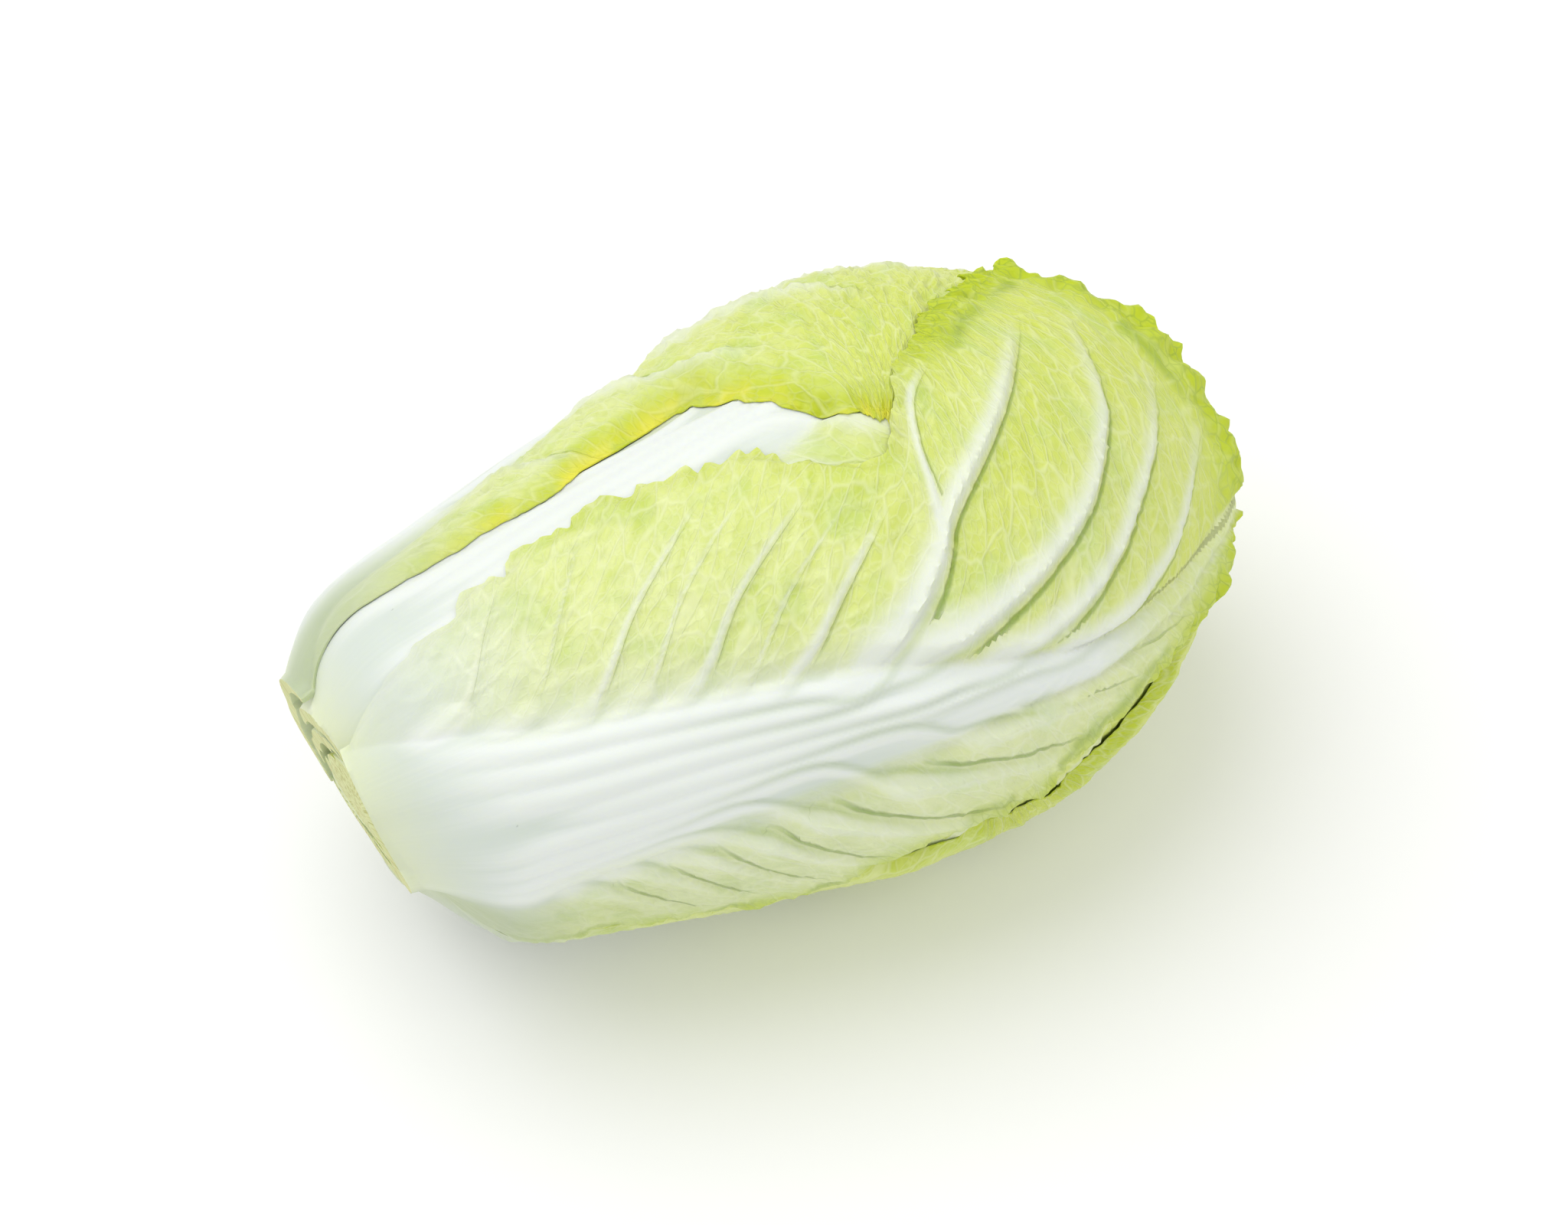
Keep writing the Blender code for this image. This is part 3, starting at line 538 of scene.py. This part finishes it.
def reliefOf(leaf, flat, gap, around, rng):
    # lift of both faces, thickness of the leaf, and its marks, at each flat point
    run, aside, spread = flat[:, 0], flat[:, 1], flat[:, 1] / head["aside"]
    bend = valueAt(run, leaf["bend"]) if "bend" in leaf else 0
    share = (spread - bend) / valueAt(run, ribEdge)
    soft = np.where((share < 0) & ("narrow" in leaf), 1, 0)
    share = np.where(share > 0, share, -share / leaf.get("narrow", 1))
    ribDome = unit(1 - share**2) ** (0.75 + 0.75 * soft)
    thick = bladeShape["thick"] + valueAt(run, ribHeight) * ribDome
    rib = fall(share, 1.32 + 0.15 * soft, 0.45 + 0.40 * soft) * fall(run, 0.25, 0.05)
    offRib = rise(share, 1.05, 0.5)
    marks = layVeins(leaf, flat, rise(share, 0.9, 0.5), rng)
    ridge, pleat, glow, vein = marks.pop("ridge"), marks.pop("pleat"), marks.pop("glow"), marks["vein"]
    folds, crinkles, border, grain = layBlade(leaf, flat, offRib, rng)
    puff = bladeShape["puff"] * unit(border * 2.2) * offRib * (1 - vein)
    net = np.maximum(marks["net"], 0.5 * bell(border, 0.09)) * offRib * (1 - vein)

    # waves and curls at the margin
    count = round(leaf["length"] * 2.4 / frillShape["wave"])
    waves = 1 - 1.5 * np.abs(wave(rng, count)(around)) + 0.5 * wave(rng, count * 2)(around)
    reach = frillShape["ruffleReach"] + frillShape["ruffleSway"] * wave(rng, count // 2)(around)
    grown = np.clip(run / marginShape["growRun"], 0.1, 1)
    loose = 1 - 0.85 * np.exp(-gap / 0.008)
    lift = (pleat + bladeShape["fold"] * folds + crinkles) * loose + puff
    lift = lift + leaf["ruffle"] * np.exp(-gap / reach) * grown * np.clip(waves, 0, 1.6)
    if "spread" in leaf:
        standing = valueAt(around, leaf["spread"])
        lift = lift + frillShape["spreadLift"] * standing * bell(gap, frillShape["marginReach"])
    wild = np.interp(around, (0.28, 0.36), (0.3, 1)) * grown * offRib
    curl = twoMottles(rng, run / frillShape["curlSize"], aside / frillShape["curlSize"], 0.5)
    curled = leaf.get("curl", frillShape["curl"]) * wild
    lift = lift + curled * (1 + curl) * bell(gap, frillShape["curlReach"])
    # painted shade: a dark line where a furrow would lie inside the curled margin; the surface is not lifted
    # by it
    furrow = wild * bell(gap - frillShape["furrowAt"], frillShape["furrow"])
    furrow = furrow * unit(0.3 + 1.4 * wave(rng, count)(around))
    lift = lift + leaf.get("flare", 0) * unit(1 - (spread / 52) ** 2) * bell(run, 0.020)
    taper = 0.55 + 0.45 * rise(gap, 0, 0.006)

    # what the finish draws
    crease = np.maximum(marks["crease"], 0.55 * furrow * leaf.get("curl", 0) / frillShape["fullCurl"])
    crease = crease * leaf.get("creases", 1)
    # painted shadow: a dark rim along the raised margin, where its shadow falls under it
    if "spread" in leaf:
        rim = np.interp(around, (0.66, 0.72, 0.82, 0.88), (0, 1, 1, 0.3))
        crease = np.maximum(crease, rim * bell(gap, frillShape["rim"]))
    margin = bell(gap, frillShape["marginReach"]) * rise(run, 0, 0.09)
    margin = margin * np.maximum(leaf.get("marginTint", 0.6), wild)
    nearRib = np.exp(-np.clip(share - 1, 0, None) / 0.4)
    pale = nearRib * np.interp(run, (0.02, 0.06, 0.16, 0.24), (1, 0.75, 0.6, 0.3))
    pale = np.maximum(pale, np.interp(run, (0.02, 0.065), (0.9, 0))) * (1 - 0.5 * margin)
    palerRight = leaf.get("palerRight", 0) * (spread < bend) * (1 - margin)
    pale = np.maximum(np.maximum(pale, glow), palerRight)
    frill = unit(1.4 * wild - 0.4) * bell(gap, frillShape["reach"])
    frill = frill * np.clip(leaf.get("curl", 0) / frillShape["frilledCurl"], 0.25, 1)
    # painted shade: the back leaf's curled margin in its own shadow, seen through the leaf as a yellow band
    yellow = leaf.get("yellow", 0) * bell(gap, frillShape["yellowReach"]) * unit(run / 0.04 - 1)
    # greener and darker near the base on the side turned away from the light: partly the leaf's own tint,
    # partly painted shade
    wing = np.maximum(rise(-spread, 20, 16), leaf.get("wing", 0)) * fall(run, 0.11, 0.06)
    whiteness = leaf.get("whiteness", 1)
    marks["power"] = marks["power"] * rise(share, 1.05, 0.45) * leaf.get("creases", 1)
    marks.update(
        rib=rib * whiteness, vein=vein * (0.4 + 0.6 * whiteness), pale=pale * whiteness, net=net,
        crest=np.maximum(unit(ridge / veinShape["ribLine"]), vein), crease=crease, margin=margin,
        frill=frill, yellow=yellow, wing=wing, leafGrain=grain,
    )
    return lift, (thick + ridge) * taper, marks


# How a leaf is laid over those before it, in metres and degrees
laying = dict(
    far=0.2, layerGap=0.0007, runStep=0.0025, spreadStep=2.0, widest=88, pastTip=0.056,
    tautness=260, looseness=6, cling=0.012, clingRun=0.030, tipGap=0.0020, tipStart=0.11, tipRun=0.10,
    tightGap=0.012, tightFade=0.0045, packedRun=0.016, packedFade=0.014, pressed=0.0007,
    overhangRun=0.024, overhangLeft=54, overhangRight=85,
)


def castDown(tree, along, ray):
    # how far out a leaf's outer face lies along rays, or 0 where it has none
    far = laying["far"]
    reach = np.zeros(len(ray))
    for k, (start, direction) in enumerate(zip(onRay(along, ray, np.full(len(along), far)), ray)):
        distance = tree.ray_cast(Vector(start), Vector(-direction), far)[3]
        if distance is not None:
            reach[k] = far - distance
    return reach


def reachUnder(along, ray, trees):
    # how far out everything that is laid already reaches
    reach = core(along, ray)
    for tree in trees:
        reach = np.maximum(reach, castDown(tree, along, ray))
    return reach


def cutStart(azimuth, trees):
    # where the leaf begins, so that its whole base reaches the cut
    runs, spreads = np.meshgrid(np.linspace(-0.020, 0.016, 73), np.linspace(-55, 55, 12))
    along, ray = place(runs.ravel(), spreads.ravel(), azimuth)
    reach = reachUnder(along, ray, trees) + ribHeight[0][1] + bladeShape["thick"]
    beforeCut = along + ray[:, 0] * reach < 0
    return runs.ravel()[beforeCut].max(initial=runs.min()) + 0.0005


def spreadOut(heights, rounds, need=None):
    # each height becomes the mean of those beside it, over and over, and stays over what is needed
    for _ in range(rounds):
        padded = np.pad(heights, 1, mode="edge")
        heights = (padded[:-2, 1:-1] + padded[2:, 1:-1] + padded[1:-1, :-2] + padded[1:-1, 2:]) / 4
        if need is not None:
            heights = np.maximum(need, heights)
    return heights


def drape(leaf, start, trees):
    # a sheet over what is under the leaf, taut but clinging at its margin, as heights over the shell
    runStep, spreadStep, widest = laying["runStep"], laying["spreadStep"], laying["widest"]
    runs = np.arange(start - 0.004, leaf["length"] + laying["pastTip"], runStep)
    spreads = np.arange(-widest, widest + 1, spreadStep)
    run, spread = np.meshgrid(runs, spreads, indexing="ij")
    along, ray = place(run.ravel(), spread.ravel(), leaf["azimuth"])
    need = (reachUnder(along, ray, trees) - shell(along, ray)).reshape(run.shape)
    need = need + laying["layerGap"]
    padded = np.pad(need, 1, mode="edge")
    need = np.max([padded[i:i + len(runs), j:j + len(spreads)] for i in range(3) for j in range(3)], axis=0)
    taut = spreadOut(spreadOut(need, laying["tautness"], need), 3)
    close = spreadOut(spreadOut(need, laying["looseness"], need), 2)

    def at(run, spread, gap, nearBase):
        i = np.clip((run - runs[0]) / runStep, 0, len(runs) - 1.001)
        j = np.clip((spread - spreads[0]) / spreadStep, 0, len(spreads) - 1.001)
        a, b = i.astype(int), j.astype(int)
        i, j = i - a, j - b
        cling = np.maximum(np.exp(-gap / laying["cling"]), nearBase)
        height = 0
        for k, m, part in ((a, b, (1 - i) * (1 - j)), (a, b + 1, (1 - i) * j),
                           (a + 1, b, i * (1 - j)), (a + 1, b + 1, i * j)):
            height = height + part * (taut[k, m] * (1 - cling) + close[k, m] * cling)
        return height + laying["tipGap"] * rise(run, laying["tipStart"], laying["tipRun"]) * (1 - cling)

    return at


def slant(points):
    # the cut is not quite square to the axis
    turn = math.radians(head["slantAzimuth"])
    lower = points[:, 2] * math.sin(turn) - points[:, 1] * math.cos(turn)
    near = np.clip(1 - points[:, 0] / head["slantReach"], 0, 1.2)
    moved = points.copy()
    moved[:, 0] += (head["cutShift"] + head["cutSlant"] * lower) * near
    return moved


def inScene(name, data):
    made = bpy.data.objects.new(name, data)
    bpy.context.scene.collection.objects.link(made)
    return made


def meshObject(name, points, faces, materials, slots, marks):
    mesh = bpy.data.meshes.new(name)
    mesh.from_pydata(points.tolist(), [], faces)
    for each in materials:
        mesh.materials.append(each)
    mesh.polygons.foreach_set("material_index", slots)
    for mark, values in marks.items():
        flatValues = np.asarray(values, dtype=np.float32).ravel()
        kind = "FLOAT" if len(flatValues) == len(points) else "FLOAT_VECTOR"
        field = mesh.attributes.new(mark, kind, "POINT")
        field.data.foreach_set("value" if kind == "FLOAT" else "vector", flatValues)
    mesh.update()
    mesh.shade_smooth()
    mesh.set_sharp_from_angle(angle=math.radians(65))
    return inScene(name, mesh)


def closedFaces(faces, count, atCut):
    # outer faces, inner faces turned over and the wall between them, each with its finish's number
    sides = np.concatenate([faces[:, [0, 1]], faces[:, [1, 2]], faces[:, [2, 0]]])
    keys, back = sides[:, 0] * count + sides[:, 1], sides[:, 1] * count + sides[:, 0]
    rim = sides[~np.isin(keys, back)].tolist()
    wall = [(b, a, a + count, b + count) for a, b in rim]
    slots = [0] * (2 * len(faces)) + [int(atCut[a] and atCut[b]) for a, b in rim]
    return faces.tolist() + (faces[:, ::-1] + count).tolist() + wall, slots


def layLeaf(name, leaf, trees, rng):
    start = cutStart(leaf["azimuth"], trees)
    flat, faces, gap, around = flatLeaf(leaf, start, rng)
    lift, thick, marks = reliefOf(leaf, flat, gap, around, rng)
    run, spread = flat[:, 0], flat[:, 1] / head["aside"]
    along, ray = place(run, spread, leaf["azimuth"])
    nearBase = unit(1 - (run - start) / laying["clingRun"])
    inner = shell(along, ray) + drape(leaf, start, trees)(run, spread, gap, nearBase) + lift

    # a tight margin comes down to what lies under it, and the base is packed full
    tight = (gap < laying["tightGap"]) & ("tight" in leaf)
    close = np.nonzero(tight | (run < start + laying["packedRun"]))[0]
    loose = np.zeros(len(run))
    loose[close] = inner[close] - reachUnder(along[close], ray[close], trees) - 0.5 * laying["layerGap"]
    if "tight" in leaf:
        inner = inner - loose * valueAt(around, leaf["tight"]) * bell(gap, laying["tightFade"])
    packed = np.clip(loose, 0, None) * unit(1 - (run - start - 0.002) / laying["packedFade"])
    inner, thick = inner - packed, thick + packed
    innerPoints, outerPoints = onRay(along, ray, inner), onRay(along, ray, inner + thick)
    atCut = np.isclose(run, start, atol=1e-6)
    innerPoints[atCut, 0] = 0
    outerPoints[atCut, 0] = 0
    tree = BVHTree.FromPolygons([Vector(p) for p in outerPoints], faces.tolist())

    # the base stands out past the cut by the overhang, and nothing sinks into the floor
    over = leaf.get("overhang", 0) * unit(1 - (run - start) / laying["overhangRun"]) ** 2
    widest = np.where(spread < 0, laying["overhangRight"], laying["overhangLeft"])
    over = over * unit(1 - (spread / widest) ** 2)
    innerPoints[:, 0] -= over
    outerPoints[:, 0] -= over
    innerPoints, outerPoints = slant(innerPoints), slant(outerPoints)
    floor = -axisStart[2]
    outerPoints[:, 2] = np.maximum(outerPoints[:, 2], floor)
    innerPoints[:, 2] = np.maximum(innerPoints[:, 2], floor + laying["pressed"])
    closed, slots = closedFaces(faces, len(flat), atCut)
    marks["leafPlace"] = np.stack([run, flat[:, 1], 0 * run], axis=1)
    doubled = {mark: np.concatenate([values, values]) for mark, values in marks.items()}
    points = np.concatenate([outerPoints, innerPoints]) + axisStart
    piece = meshObject(name + "_grown", points, closed, (finishes["leaf"], finishes["cut"]), slots, doubled)
    return piece, tree


# Finishes
class Wire:
    # a socket that can stand in a sum
    def __init__(self, finish, socket):
        self.finish, self.socket = finish, socket

    def __add__(self, other):
        return self.finish.sum("ADD", self, other)

    def __sub__(self, other):
        return self.finish.sum("SUBTRACT", self, other)

    def __rsub__(self, other):
        return self.finish.sum("SUBTRACT", other, self)

    def __mul__(self, other):
        return self.finish.sum("MULTIPLY", self, other)

    __radd__ = __add__
    __rmul__ = __mul__


class Finish:
    def __init__(self, name, constants):
        self.material = bpy.data.materials.new(name)
        self.material.use_nodes = True
        self.tree = self.material.node_tree
        self.shader = self.tree.nodes["Principled BSDF"]
        for socket, value in constants.items():
            self.shader.inputs[socket].default_value = value

    def node(self, kind, settings, values, output=0):
        made = self.tree.nodes.new(kind)
        for name, value in settings.items():
            setattr(made, name, value)
        for socket, value in values.items():
            self.join(made.inputs[socket], value)
        return Wire(self, made.outputs[output])

    def join(self, socket, value):
        if isinstance(value, Wire):
            self.tree.links.new(value.socket, socket)
        else:
            socket.default_value = value

    def sum(self, operation, first, second):
        return self.node("ShaderNodeMath", {"operation": operation}, {0: first, 1: second})

    def greater(self, first, second):
        return self.sum("MAXIMUM", first, second)

    def mark(self, name):
        return self.node("ShaderNodeAttribute", {"attribute_name": name}, {}, "Fac")

    def at(self, name, stretch):
        where = self.node("ShaderNodeAttribute", {"attribute_name": name}, {}, "Vector")
        return self.node("ShaderNodeVectorMath", {"operation": "MULTIPLY"}, {0: where, 1: stretch})

    def noise(self, where, scale, detail=2.0):
        values = {"Vector": where, "Scale": scale, "Detail": detail}
        return self.node("ShaderNodeTexNoise", {}, values, "Fac")

    def bent(self, where, amount):
        # places moved about by soft noise, so that what is drawn over them is not straight
        stray = self.node("ShaderNodeTexNoise", {}, {"Vector": where, "Scale": 0.7, "Detail": 2.0}, "Color")
        moved = self.node("ShaderNodeVectorMath", {"operation": "SCALE"}, {0: stray, "Scale": amount})
        return self.node("ShaderNodeVectorMath", {"operation": "ADD"}, {0: where, 1: moved})

    def cells(self, where):
        # how far each place is from the borders of random cells
        values = {"Vector": where, "Scale": 1.0}
        return self.node("ShaderNodeTexVoronoi", {"feature": "DISTANCE_TO_EDGE"}, values)

    def fit(self, value, low, high, newLow=0.0, newHigh=1.0):
        values = {0: value, 1: low, 2: high, 3: newLow, 4: newHigh}
        return self.node("ShaderNodeMapRange", {"interpolation_type": "SMOOTHSTEP"}, values)

    def mix(self, share, first, second):
        return self.node("ShaderNodeMix", {"data_type": "RGBA"}, {0: share, 6: first, 7: second}, 2)

    def bump(self, height, strength, distance):
        values = {"Strength": strength, "Distance": distance, "Height": height}
        return self.node("ShaderNodeBump", {}, values)

    def set(self, **links):
        names = {"colour": "Base Color", "roughness": "Roughness", "normal": "Normal"}
        for name, value in links.items():
            self.join(self.shader.inputs[names[name]], value)


def tint(red, green, blue):
    # a colour given as seen, from 0 to 255, as light
    def light(value):
        value = value / 255
        return value / 12.92 if value <= 0.04045 else ((value + 0.055) / 1.055) ** 2.4
    return (light(red), light(green), light(blue), 1)


# Some of these colours are painted shade: the dark green of the creases, the grey of the rib between its
# ridges, the wing's darker green and the yellow of the back leaf's margin
leafLook = dict(
    pale=tint(220, 230, 158), rich=tint(206, 218, 98), green=tint(190, 211, 112), frill=tint(185, 202, 26),
    yellow=tint(230, 224, 64), paintedShadeGreen=tint(118, 150, 30), net=tint(230, 237, 190), rib=tint(227, 232, 226),
    ribShade=tint(208, 217, 207), wing=tint(178, 190, 156), base=tint(220, 227, 184),
    cut=tint(214, 219, 156), cutShade=tint(178, 176, 98), spot=tint(92, 104, 84),
    shine=(0.38, 0.56), bumpStrength=0.7, bumpDepth=0.0009,
)


def leafFinish():
    finish = Finish("leafSurface", {
        "Subsurface Weight": 0.30, "Subsurface Radius": (0.9, 1.0, 0.3), "Subsurface Scale": 0.002,
        "Specular IOR Level": 0.4,
    })
    rib, vein, net = finish.mark("rib"), finish.mark("vein"), finish.mark("net")
    margin, crest, power = finish.mark("margin"), finish.mark("crest"), finish.mark("power")
    away, side = finish.mark("away"), finish.fit(finish.mark("side"), 0.3, 0.8)
    along = finish.node("ShaderNodeSeparateXYZ", {}, {0: finish.at("leafPlace", (1, 1, 1))}, "X")
    broad = finish.noise(finish.at("leafPlace", (60, 60, 60)), 1.0, 3.0)
    folds = finish.noise(finish.at("leafGrain", (250, 55, 1)), 1.0, 3.0)
    fibres = finish.noise(finish.at("leafPlace", (26, 620, 1)), 1.0, 2.0)

    # the net of fine veins; painted shade: a dark line in the crease beside each strong vein, and shade on
    # the blade after it
    cells = finish.cells(finish.bent(finish.at("leafGrain", (170, 60, 1)), 0.9))
    small = finish.cells(finish.bent(finish.at("leafGrain", (430, 260, 1)), 0.7))
    lines = finish.greater(finish.fit(cells, 0.0, 0.09, 1.0, 0.0), finish.fit(small, 0.0, 0.16, 0.5, 0.0))
    line = finish.fit(away, 1.05, 1.30) * finish.fit(away, 1.75, 1.35) * side * power
    shade = finish.fit(away, 1.2, 1.4) * finish.fit(away, 4.0, 1.4) * side * power
    crease = finish.greater(line, finish.mark("crease"))

    # the blade
    blade = finish.mix(finish.fit(along + 0.12 * broad, 0.08, 0.26), leafLook["pale"], leafLook["rich"])
    blade = finish.mix(finish.fit(broad, 0.48, 0.72, 0.0, 0.7), blade, leafLook["green"])
    blade = finish.mix(finish.fit(folds, 0.55, 0.3, 0.0, 0.35), blade, leafLook["frill"])
    blade = finish.mix(finish.fit(margin + 0.6 * broad, 0.45, 1.2), blade, leafLook["frill"])
    # painted shade: the blade after each crease is drawn greener and darker
    blade = finish.mix(shade * 0.4, blade, leafLook["green"])
    blade = finish.mix(finish.greater(net, lines) * 0.4, blade, leafLook["net"])

    # the rib and the veins
    crest = crest + finish.fit(along, 0.11, 0.16, 0.0, 0.45)
    # painted shade: the rib is drawn greyer in the grooves between its ridges, where the crest is low, with
    # fibre streaks mixed in
    white = finish.mix(finish.fit(crest + 0.25 * fibres, 0.0, 0.75), leafLook["ribShade"], leafLook["rib"])
    white = finish.mix(finish.fit(along, 0.020, -0.012), white, leafLook["base"])
    # the leaf's own greener tint with painted shade, on the side of the base turned away from the light
    white = finish.mix(finish.mark("wing") * 0.95, white, leafLook["wing"])
    whiteness = finish.greater(finish.greater(rib, vein * 0.9), finish.mark("pale"))
    colour = finish.mix(whiteness, blade, white)

    # the frill; painted shade in the creases, at the rim and between the frill's crinkles; the yellow margin;
    # and the specks
    frill = finish.mark("frill")
    colour = finish.mix(frill * finish.fit(folds, 0.2, 0.6, 1.0, 0.7), colour, leafLook["frill"])
    # painted shade: creases, the shadow under the rim and the furrows drawn dark green
    colour = finish.mix(crease * 0.75, colour, leafLook["paintedShadeGreen"])
    # painted shade between the frill's crinkles
    colour = finish.mix(frill * finish.fit(small, 0.10, 0.0, 0.0, 0.45), colour, leafLook["paintedShadeGreen"])
    # painted shade: the curled back margin's own shadow, drawn as a broken yellow band
    yellow = finish.mark("yellow") * finish.fit(broad, 0.38, 0.58, 0.1, 0.9)
    colour = finish.mix(yellow, colour, leafLook["yellow"])
    places = {"Vector": finish.at("leafPlace", (100, 100, 1)), "Scale": 1.0}
    spot = finish.node("ShaderNodeTexVoronoi", {}, places)
    spots = finish.fit(spot, 0.07, 0.03) * finish.fit(folds, 0.60, 0.66) * rib
    colour = finish.mix(spots * 0.7, colour, leafLook["spot"])

    height = (folds * 0.9 + lines * 0.3) * (1 - whiteness) + fibres * 0.10 * whiteness - 1.2 * line
    finish.set(colour=colour, roughness=finish.fit(broad + whiteness * -0.3, 0.0, 1.0, *leafLook["shine"]),
               normal=finish.bump(height, leafLook["bumpStrength"], leafLook["bumpDepth"]))
    return finish.material


def cutFinish():
    finish = Finish("cutSurface", {"Subsurface Weight": 0.12, "Subsurface Scale": 0.002})
    speck = finish.noise(finish.at("leafPlace", (700, 700, 700)), 1.0, 3.0)
    colour = finish.mix(finish.fit(speck, 0.4, 0.75), leafLook["cut"], leafLook["cutShade"])
    finish.set(colour=colour, roughness=finish.fit(speck, 0.0, 1.0, 0.5, 0.75),
               normal=finish.bump(speck, 0.4, 0.0004))
    return finish.material


def heartFinish():
    finish = Finish("heartSurface", {"Subsurface Weight": 0.18, "Subsurface Scale": 0.003})
    broad = finish.noise(finish.at("leafPlace", (70, 70, 70)), 1.0, 3.0)
    colour = finish.mix(finish.fit(broad, 0.3, 0.7), leafLook["frill"], leafLook["pale"])
    finish.set(colour=colour, roughness=finish.fit(broad, 0.0, 1.0, 0.4, 0.6),
               normal=finish.bump(broad, 0.3, 0.001))
    return finish.material


finishes = dict(leaf=leafFinish(), cut=cutFinish(), heart=heartFinish())
print("finishes made")

# The heart and the stem
heart = dict(
    sides=120, rows=90, crowding=1.35,  # its mesh, closer together near the base
    gap=0.0032, fold=0.0020, laps=3, twist=4, opening=0.05,  # its own leaves
    stemRings=(0.25, 0.5, 0.75),
)


def makeHeart():
    sides, basePivot, tipPivot = heart["sides"], head["basePivot"], head["tipPivot"]
    turns = np.arange(sides) * 2 * math.pi / sides
    rings = []
    for share in heart["stemRings"]:
        bulge = head["crown"] * (1 - share**2)
        rings.append(ringRay(np.full(sides, basePivot), turns) * share * head["stem"] - (bulge, 0, 0))
    first = basePivot - head["baseArm"] * math.atan2(basePivot, head["stem"])
    last = tipPivot + head["tipArm"] * math.pi / 2
    for run in first + (last - first) * np.linspace(0, 1, heart["rows"] + 1)[:-1] ** heart["crowding"]:
        ray = ringRay(np.full(sides, run), turns)
        along = np.full(sides, np.clip(run, basePivot, tipPivot))
        grown = rise(run, basePivot, heart["opening"])
        laps = (turns * heart["laps"] / (2 * math.pi) + heart["twist"] * run / last) % 1
        rings.append(onRay(along, ray, core(along, ray) - grown * (heart["gap"] - heart["fold"] * laps)))
    tip = (head["length"] - head["wrap"] - heart["gap"], 0, 0)
    points = np.concatenate([[(-head["crown"], 0, 0)], *rings, [tip]])
    end = len(points) - 1
    faces, slots = [], []
    for k in range(sides):
        beside = (k + 1) % sides
        faces += [(0, 1 + k, 1 + beside), (end, end - sides + beside, end - sides + k)]
        slots += [1, 0]
        for number, row in enumerate(range(0, end - 1 - sides, sides)):
            faces.append((1 + row + k, 1 + row + k + sides, 1 + row + beside + sides, 1 + row + beside))
            slots.append(int(number < len(heart["stemRings"])))
    return meshObject("stem_and_heart_grown", slant(points) + axisStart, faces,
                      (finishes["heart"], finishes["cut"]), slots, dict(leafPlace=points))


# The whole head
def dress(piece, node, slot):
    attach(piece, "root")
    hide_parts(node)
    print(node, len(piece.data.polygons), "faces")


dress(makeHeart(), "stem_and_heart", "heart")
rng = np.random.default_rng(11)
trees = []
for name, leaf in leaves.items():
    piece, tree = layLeaf(name, leaf, trees, rng)
    trees.append(tree)
    dress(piece, name, name.split("_")[0] + "_leaf")

# Floor, light and camera: each lamp by its place, size and power
stage = dict(
    floorSize=6.0, floorDepth=0.0003, floorColour=(0.95, 0.95, 0.95, 1), floorRoughness=0.9,
    keyLamp=((-0.40, 0.55, 1.6), 1.8, 14.5), fillLamp=((0.5, -1.3, 1.5), 1.6, 5), worldLight=0.74,
)
view = dict(azimuth=-27.4, elevation=55, distance=1.3, lens=106.2, target=(-0.0025, -0.0007, 0.0732))


def makeFloor():
    half, under = stage["floorSize"] / 2, -stage["floorDepth"]
    mesh = bpy.data.meshes.new("floor")
    corners = [(-half, -half, under), (half, -half, under), (half, half, under), (-half, half, under)]
    mesh.from_pydata(corners, [], [(0, 1, 2, 3)])
    paper = Finish("floorPaper", {"Base Color": stage["floorColour"], "Roughness": stage["floorRoughness"]})
    mesh.materials.append(paper.material)
    inScene("floor", mesh)


def makeLamp(name):
    where, size, power = stage[name]
    lamp = bpy.data.lights.new(name, "AREA")
    lamp.shape, lamp.size, lamp.energy = "DISK", size, power
    made = inScene(name, lamp)
    made.location = where
    made.rotation_euler = (-Vector(where)).to_track_quat("-Z", "Y").to_euler()


def makeCamera():
    azimuth, elevation = math.radians(view["azimuth"]), math.radians(view["elevation"])
    back = Vector((math.sin(azimuth) * math.cos(elevation), -math.cos(azimuth) * math.cos(elevation),
                   math.sin(elevation)))
    right = Vector((math.cos(azimuth), math.sin(azimuth), 0))
    up = back.cross(right)
    camera = bpy.data.cameras.new("camera")
    camera.lens = view["lens"]
    made = inScene("camera", camera)
    made.matrix_world = Matrix((right, up, back)).transposed().to_4x4()
    made.location = Vector(view["target"]) + back * view["distance"]
    bpy.context.scene.camera = made


def makeWorld():
    world = bpy.data.worlds.new("studio")
    world.use_nodes = True
    background = world.node_tree.nodes["Background"]
    background.inputs["Color"].default_value = (1, 1, 1, 1)
    background.inputs["Strength"].default_value = stage["worldLight"]
    bpy.context.scene.world = world
    bpy.context.scene.view_settings.view_transform = "Standard"


makeFloor()
makeLamp("keyLamp")
makeLamp("fillLamp")
makeCamera()
makeWorld()
print("studio set")
